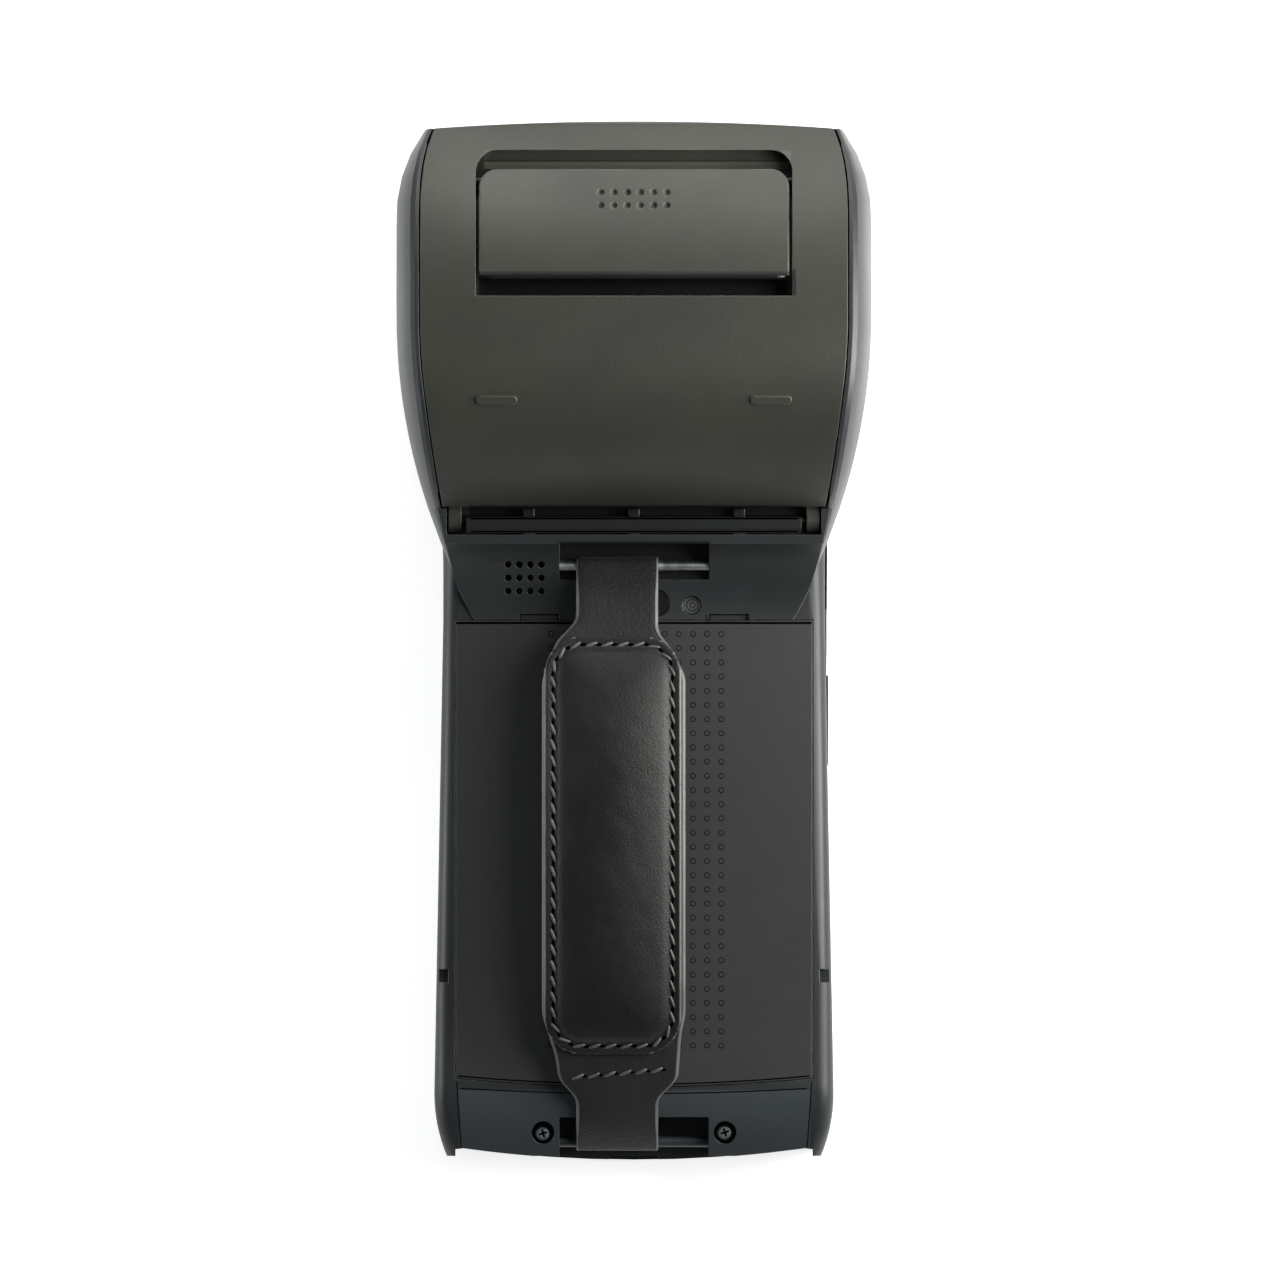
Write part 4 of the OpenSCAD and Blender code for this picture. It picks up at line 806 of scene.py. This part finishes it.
def outline(inset, count):
    """Flat points and their directions, at even steps along the patch's outline pulled in by an inset."""
    corner = PATCH_CORNER - inset
    half, reach = PATCH_HALF - PATCH_CORNER, PATCH_REACH - PATCH_CORNER
    bend = corner * math.pi / 2
    lengths = [2 * reach, bend, 2 * half, bend] * 2
    corners = [(half, reach), (-half, reach), (-half, -reach), (half, -reach)]
    total = sum(lengths)
    found = []
    for i in range(count):
        d = total * i / count
        part = 0
        while d >= lengths[part]:
            d -= lengths[part]
            part += 1
        quarter = part // 2
        turn = math.pi / 2 * (quarter + (d / bend if part % 2 else 0))
        out = Vector((math.cos(turn), math.sin(turn)))
        along = Vector((-out.y, out.x))
        if part % 2:
            middle = Vector(corners[quarter])
        else:
            middle = Vector(corners[quarter - 1]) + along * d
        found.append((middle + out * corner, along))
    return found


def bent(x, s, h):
    """A flat point of the patch, taken onto the strap."""
    s += PATCH_MIDDLE
    return strap_line.at(s) + strap_line.normal(s) * (LEATHER_T / 2 + h) + Vector((PATCH_X + x, 0, 0))


def flat_patch():
    """Closed flat shape of the patch at the scale of the simulation."""
    mesh = bmesh.new()
    ring = [p for p, _ in outline(0, RIM_POINTS)]
    low, high = ([mesh.verts.new(Vector((p.x, p.y, z)) * SIM_SCALE) for p in ring] for z in (0, PATCH_T))
    mesh.faces.new(high)
    mesh.faces.new(list(reversed(low)))
    bridge(mesh, low, high)
    data = bpy.data.meshes.new("strap_pad_leather")
    mesh.to_mesh(data)
    mesh.free()
    piece = bpy.data.objects.new("strap_pad_leather", data)
    scene.collection.objects.link(piece)
    remesh = piece.modifiers.new("remesh", "REMESH")
    remesh.mode = "VOXEL"
    remesh.voxel_size = VOXEL * SIM_SCALE
    apply_modifiers(piece)
    return piece


def apply_modifiers(piece):
    """Turns what the modifiers make of a piece into its own mesh."""
    shown = piece.evaluated_get(bpy.context.evaluated_depsgraph_get())
    made = bpy.data.meshes.new_from_object(shown)
    piece.modifiers.clear()
    old = piece.data
    piece.data = made
    bpy.data.meshes.remove(old)


def crown(x, s):
    """Height of an even filling, which rises from its seam as a quarter of an ellipse."""
    depth = max(inside(x, s) - PAD_INSET, 0)
    rise = min(depth / (PATCH_HALF - PAD_INSET), 1)
    return PAD_H * math.sqrt(1 - (1 - rise) ** 2)


def inflate(piece):
    """Swells the patch between its stitches with cloth under pressure, its margin held down."""
    held = piece.vertex_groups.new(name="sewn")
    for v in piece.data.vertices:
        margin = inside(v.co.x / SIM_SCALE, v.co.y / SIM_SCALE)
        if margin < PAD_INSET:
            held.add([v.index], 1, "REPLACE")
    cloth = piece.modifiers.new("cloth", "CLOTH")
    settings = cloth.settings
    settings.quality = 6
    settings.mass = 0.4
    settings.vertex_group_mass = held.name
    settings.use_pressure = True
    settings.uniform_pressure_force = 4
    settings.tension_stiffness = settings.compression_stiffness = 12
    settings.bending_stiffness = 6
    settings.effector_weights.gravity = 0
    cloth.collision_settings.use_self_collision = False
    cloth.point_cache.frame_start, cloth.point_cache.frame_end = 1, SIM_FRAMES
    for step in range(1, SIM_FRAMES + 1):
        scene.frame_set(step)
    apply_modifiers(piece)
    scene.frame_set(1)


def settle(flat, blown, highest):
    """Place on the strap of a point of the patch, from where it lay flat and where the cloth took it."""
    x, s, h = flat
    on_top = h > PATCH_T / 2
    if on_top:
        swell = crown(x, s)
        if highest:
            cloth = (blown.z - flat.z) / highest * PAD_H
            swell = min(max(CLOTH_SHARE * cloth + (1 - CLOTH_SHARE) * swell, 0), PAD_H * SWELL_CAP)
        sewn = math.exp(-((inside(x, s) - STITCH_INSET) / GROOVE) ** 2)
        ripple = noise.noise(Vector((x, s, 0)) * RIPPLE_SCALE) * min(swell / PAD_H, 1)
        h += swell - GROOVE_DEPTH * sewn + RIPPLE * ripple
        x += min(max(blown.x - flat.x, -SIDE_CAP), SIDE_CAP)
    return bent(x, s, max(h, OVER_LEATHER))


def make_pad():
    """The padded patch: swollen between its stitches, pulled in along them and wrapped onto the strap."""
    piece = flat_patch()
    before = [v.co / SIM_SCALE for v in piece.data.vertices]
    highest = 0
    inflate(piece)
    rises = sorted(v.co.z / SIM_SCALE - flat.z for v, flat in zip(piece.data.vertices, before))
    highest = rises[int(len(rises) * HIGH_SHARE)]
    for v, flat in zip(piece.data.vertices, before):
        v.co = settle(flat, v.co / SIM_SCALE, highest)
    for face in piece.data.polygons:
        middle = sum((before[i] for i in face.vertices), Vector()) / len(face.vertices)
        if inside(middle.x, middle.y) < CUT_EDGE:
            face.material_index = 1
    smoother = piece.modifiers.new("smooth", "SUBSURF")
    smoother.levels = smoother.render_levels = 1
    for material in (finishes["pad_leather"], leather_edge):
        piece.data.materials.append(material)
    piece.data.shade_smooth()
    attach(piece, "housing")
    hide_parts("strap_pad")


STITCH_PITCH = 3 * MM
STITCH_L = 2.5 * MM
STITCH_DEPTH = 0.26 * MM
THREAD_R = 0.3 * MM
STITCH_SLANT = math.radians(-21)
STITCH_RISE = 0.36 * MM
STITCH_DIVE = 0.9
STITCH_RINGS = 9
THREAD_SIDES = 8
THREAD_END = 0.75
HOLE_LONG = 0.7 * MM
HOLE_WIDE = 0.42 * MM
HOLE_RIM, HOLE_MIDDLE = 0.02 * MM, 0.07 * MM
HOLE_SIDES = 12
DIRECTION_STEP = 0.4 * MM

# The short row of stitches that closes the fold at the foot end: y, slope, and x from and to
ROW_Y = -82 * MM
ROW_RISE = 0.083
ROW_FROM, ROW_TO = -6.6 * MM, 10 * MM


def add_stitch(mesh, middle, along, up):
    """A slanted thread that dives into the leather at both ends, and after it a hole of painted shade."""
    side = along.cross(up)
    direction = along * math.cos(STITCH_SLANT) + side * math.sin(STITCH_SLANT)
    across = direction.cross(up)
    rings = []
    for i in range(STITCH_RINGS):
        t = 2 * i / (STITCH_RINGS - 1) - 1
        height = (1 - t ** 4) * STITCH_RISE - STITCH_DEPTH
        centre = middle + direction * (t * STITCH_L / 2) + up * height
        tilt = (direction - up * (t ** 3) * STITCH_DIVE).normalized()
        lift = across.cross(tilt)
        size = THREAD_R * (THREAD_END + (1 - THREAD_END) * (1 - t * t))
        rings.append([mesh.verts.new(centre + (across * math.cos(a) - lift * math.sin(a)) * size)
                      for a in circle(THREAD_SIDES)])
    skin(mesh, rings)
    for ring in (rings[0], rings[-1]):
        mesh.faces.new(ring)
    centre = middle + along * (STITCH_PITCH / 2)
    rim = [mesh.verts.new(centre + along * math.cos(a) * HOLE_LONG + side * math.sin(a) * HOLE_WIDE
                          + up * HOLE_RIM) for a in circle(HOLE_SIDES)]
    dot = mesh.verts.new(centre + up * HOLE_MIDDLE)
    for a, b in zip(rim, rim[1:] + rim[:1]):
        mesh.faces.new((a, b, dot)).material_index = 1


def make_stitching():
    """Slanted stitches round the patch, and the row that closes the fold at the foot end."""
    mesh = bmesh.new()
    straights = 4 * (PATCH_HALF + PATCH_REACH - 2 * PATCH_CORNER)
    perimeter = straights + math.tau * (PATCH_CORNER - STITCH_INSET)
    height = PATCH_T - STITCH_DEPTH
    for flat, along in outline(STITCH_INSET, round(perimeter / STITCH_PITCH)):
        middle = bent(flat.x, flat.y, height)
        ahead = bent(*(flat + along * DIRECTION_STEP), height)
        add_stitch(mesh, middle, (ahead - middle).normalized(), strap_line.normal(flat.y + PATCH_MIDDLE))
    row_count = round((ROW_TO - ROW_FROM) / STITCH_PITCH)
    for i in range(row_count):
        x = ROW_FROM + STITCH_PITCH * i
        s = strap_line.where(ROW_Y + ROW_RISE * x)
        along = Vector((1, ROW_RISE, 0)).normalized()
        add_stitch(mesh, bent(x, s - PATCH_MIDDLE, 0), along, strap_line.normal(s))
    bmesh.ops.recalc_face_normals(mesh, faces=mesh.faces)
    mesh_object("strap_stitching", mesh, "housing", [thread, painted_shade_black])


make_web()
make_pad()
make_stitching()


# Small forms on the cover, the end cap, the neck and the lever

DOT_COLUMNS, DOT_ROWS = 13, 30
DOT_FIRST_PX = (551, 634)
DOT_PITCH_PX = 14.2
DOT_SIDES = 12
# Rings of a dot from its rim to its middle: radius and height in millimetres, and material, where 0 is
# near-black painted shade
DOT_SECTION = ((0.62, -0.02, 0), (0.5, 0.05, 0), (0.4, 0.035, 1), (0.18, 0.045, 1))


def turned(mesh, centre, up, section, sides):
    """Turns a section of radius and height in millimetres round a line, into rings of vertices."""
    right = up.orthogonal().normalized()
    ahead = up.cross(right)
    return [[mesh.verts.new(centre + (right * math.cos(a) + ahead * math.sin(a)) * radius * MM
                            + up * height * MM) for a in circle(sides)]
            for radius, height in section]


def make_cover_dots():
    """The field of small grip dots on the battery cover, each a low ring with a shallow middle; the ring
    is painted near-black as shade.
    """
    faces = surface_of("battery_cover")
    mesh = bmesh.new()
    for column in range(DOT_COLUMNS):
        for row in range(DOT_ROWS):
            found, up = seat(faces, at_pixel(DOT_FIRST_PX[0] + column * DOT_PITCH_PX,
                                             DOT_FIRST_PX[1] + row * DOT_PITCH_PX))
            if found is None:
                continue
            rings = turned(mesh, found, up, [ring[:2] for ring in DOT_SECTION], DOT_SIDES)
            for outer, inner, (_, _, paint) in zip(rings, rings[1:], DOT_SECTION):
                for face in bridge(mesh, outer, inner):
                    face.material_index = paint
            mesh.faces.new(rings[-1]).material_index = 1
    mesh_object("cover_grip_dots", mesh, "housing",
                [painted_dot_shade, finishes["cover_plastic"]])


# Joint lines seen from above, drawn as painted shade where the gaps lie in shade. An arc has the solid
# that carries it, its left and right end and its rows at the sides and in the middle in pixels, and its
# width. A side of the end cap has its top and its end
ARC_REACH_PX = 179
ARC_STEPS = 60
SEAM_ARCS = (("battery_cover", 456, 812, 623, 623, 0.5 * MM),
             ("battery_cover", 458, 810, 1076, 1084.6, 0.32 * MM),
             ("rear_shell", 461, 807, 1088.5, 1094, 0.26 * MM),
             ("hinge_strip", 471, 798, 518.5, 518.5, 0.4 * MM),
             ("hinge_strip", 471, 798, 531.5, 531.5, 0.4 * MM))
CAP_SIDES_PX = (((456.5, 1082), (461, 1148)), ((812, 1082), (807.5, 1148)))
CAP_SIDE_WIDTH = 0.22 * MM
CAP_SIDE_STEPS = 30
BEAD_HEIGHT = 0.05 * MM
BEAD_SECTION = ((-1, -1), (-0.7, 0.8), (0, 1), (0.7, 0.8), (1, -1))


def add_line(mesh, node, places, wide):
    """A low bead of painted shade that follows a solid's surface along a line seen from above."""
    faces = surface_of(node)
    seats = [(p, up) for p, up in (seat(faces, place) for place in places) if p is not None]
    rings = []
    for i, (p, up) in enumerate(seats):
        d = seats[min(i + 1, len(seats) - 1)][0] - seats[max(i - 1, 0)][0]
        side = d.cross(up).normalized()
        rings.append([mesh.verts.new(p + side * x * wide / 2 + up * h * BEAD_HEIGHT)
                      for x, h in BEAD_SECTION])
    for low, high in zip(rings, rings[1:]):
        strip(mesh, low, high)


def steps_between(first, last, count):
    """Numbers at even steps from the first to the last."""
    return [first + (last - first) * i / count for i in range(count + 1)]


def arc_places(left, right, side_y, middle_y):
    """Places along a flat arc of the photograph that is lowest in the middle of the object."""
    return [at_pixel(x, middle_y - (middle_y - side_y) * ((x - MIDDLE_PX[0]) / ARC_REACH_PX) ** 2)
            for x in steps_between(left, right, ARC_STEPS)]


def make_seams():
    """Joint lines of painted shade: over the cover's ends, beside the hinge strip and down the sides of
    the cap.
    """
    mesh = bmesh.new()
    for node, *arc, wide in SEAM_ARCS:
        add_line(mesh, node, arc_places(*arc), wide)
    for (top_x, top_y), (end_x, end_y) in CAP_SIDES_PX:
        xs, ys = steps_between(top_x, end_x, CAP_SIDE_STEPS), steps_between(top_y, end_y, CAP_SIDE_STEPS)
        add_line(mesh, "rear_shell", [at_pixel(x, y) for x, y in zip(xs, ys)], CAP_SIDE_WIDTH)
    bmesh.ops.recalc_face_normals(mesh, faces=mesh.faces)
    mesh_object("joint_lines", mesh, "housing", [painted_shade_black])


# Screw heads in millimetres. The section has shares of the radius with heights
SCREWS_PX = ((543, 1134), (725, 1133))
HEAD_R = 1.5
HEAD_SECTION = ((1, -0.5), (0.93, -0.2), (0.75, -0.05), (0.5, 0))
HEAD_SIDES = 28
CROSS_TURNS = (0.3, 0.3 + math.pi / 2)
CROSS_LONG, CROSS_WIDE, CROSS_RISE = 0.85, 0.2, 0.02
CROSS_OUTLINE = ((-1, -0.6), (-0.8, -1), (0.8, -1), (1, -0.6), (1, 0.6), (0.8, 1), (-0.8, 1), (-1, 0.6))

# How far the heads lie below the end cap, and how far beside them it is felt
HEAD_SINK = 1.3 * MM
CAP_PROBE = 3 * MM


def make_screw_heads():
    """Pan heads whose cross recess is a flat cross of painted shade, which stand on the screws just under
    the end cap.
    """
    _, screws_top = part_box("housing_screws")
    shell = surface_of("rear_shell")
    mesh = bmesh.new()
    for pixel in SCREWS_PX:
        place = at_pixel(*pixel)
        around = [seat(shell, place + Vector((side, 0, 0)))[0].z for side in (-CAP_PROBE, CAP_PROBE)]
        top = min(around) - HEAD_SINK
        centre = Vector((place.x, place.y, top))
        section = [(HEAD_R, (screws_top.z - top) / MM)]
        section += [(HEAD_R * share, height) for share, height in HEAD_SECTION]
        rings = turned(mesh, centre, UP, section, HEAD_SIDES)
        skin(mesh, rings)
        mesh.faces.new(rings[-1])

        for turn in CROSS_TURNS:
            d = Vector((math.cos(turn), math.sin(turn), 0))
            n = Vector((-d.y, d.x, 0))
            corners = [centre + (d * a * CROSS_LONG + n * b * CROSS_WIDE + UP * CROSS_RISE) * MM
                       for a, b in CROSS_OUTLINE]
            mesh.faces.new([mesh.verts.new(c) for c in corners]).material_index = 1
    mesh_object("screw_heads", mesh, "housing", [finishes["chassis_steel"], painted_shade_black])


# Lip of the lever in millimetres: how far it reaches out, down and back, and how far it lies below the top
LIP_OUT, LIP_DEEP, LIP_BACK = 0.8, 1.6, 0.3
LIP_BELOW = 0.12

# How far the lip ends before the lever's corners, and how far inside its edge the lever's top is felt
LIP_ENDS = 0.7 * MM
LIP_PROBE = 0.35 * MM
LIP_STEPS = 30
LIP_BENDS = 6


def make_lever_lip():
    """The rounded lip under the lever's free edge, which the finger pulls."""
    low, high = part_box("release_lever")
    faces = surface_of("release_lever")
    turns = steps_between(0, math.pi / 2, LIP_BENDS)
    profile = [(LIP_OUT * math.sin(a), -LIP_BELOW - LIP_OUT * (1 - math.cos(a))) for a in turns]
    profile += [(LIP_OUT, -LIP_DEEP), (-LIP_BACK, -LIP_DEEP)]
    mesh = bmesh.new()
    rings = []
    for x in steps_between(low.x + LIP_ENDS, high.x - LIP_ENDS, LIP_STEPS):
        edge, _ = seat(faces, Vector((x, low.y + LIP_PROBE, 0)))
        rings.append([mesh.verts.new(Vector((x, low.y - out * MM, edge.z + down * MM)))
                      for out, down in profile])
    for first, second in zip(rings, rings[1:]):
        strip(mesh, first, second)
    for ring in (rings[0], rings[-1]):
        mesh.faces.new(ring)
    bmesh.ops.recalc_face_normals(mesh, faces=mesh.faces)
    mesh_object("lever_lip", mesh, "lever", [finishes["lid_plastic"]])


# Window rims in millimetres: past the window's edge, and height over the window
RIM_SECTION = ((0.32, -0.3), (0.28, 0.06), (0.12, 0.12), (-0.04, 0.06), (-0.1, -0.05))
RIM_SIDES = 48


def make_window_rims():
    """Thin rims that hold the camera and flash windows."""
    mesh = bmesh.new()
    for node in ("camera_window", "flash_window"):
        low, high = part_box(node)
        centre = Vector(((low.x + high.x) / 2, (low.y + high.y) / 2, high.z))
        window_r = (high.x - low.x) / 2 / MM
        section = [(window_r + past, height) for past, height in RIM_SECTION]
        skin(mesh, turned(mesh, centre, UP, section, RIM_SIDES))
    bmesh.ops.recalc_face_normals(mesh, faces=mesh.faces)
    mesh_object("window_rims", mesh, "housing", [finishes["strip_plastic"]])


make_cover_dots()
make_seams()
make_screw_heads()
make_lever_lip()
make_window_rims()
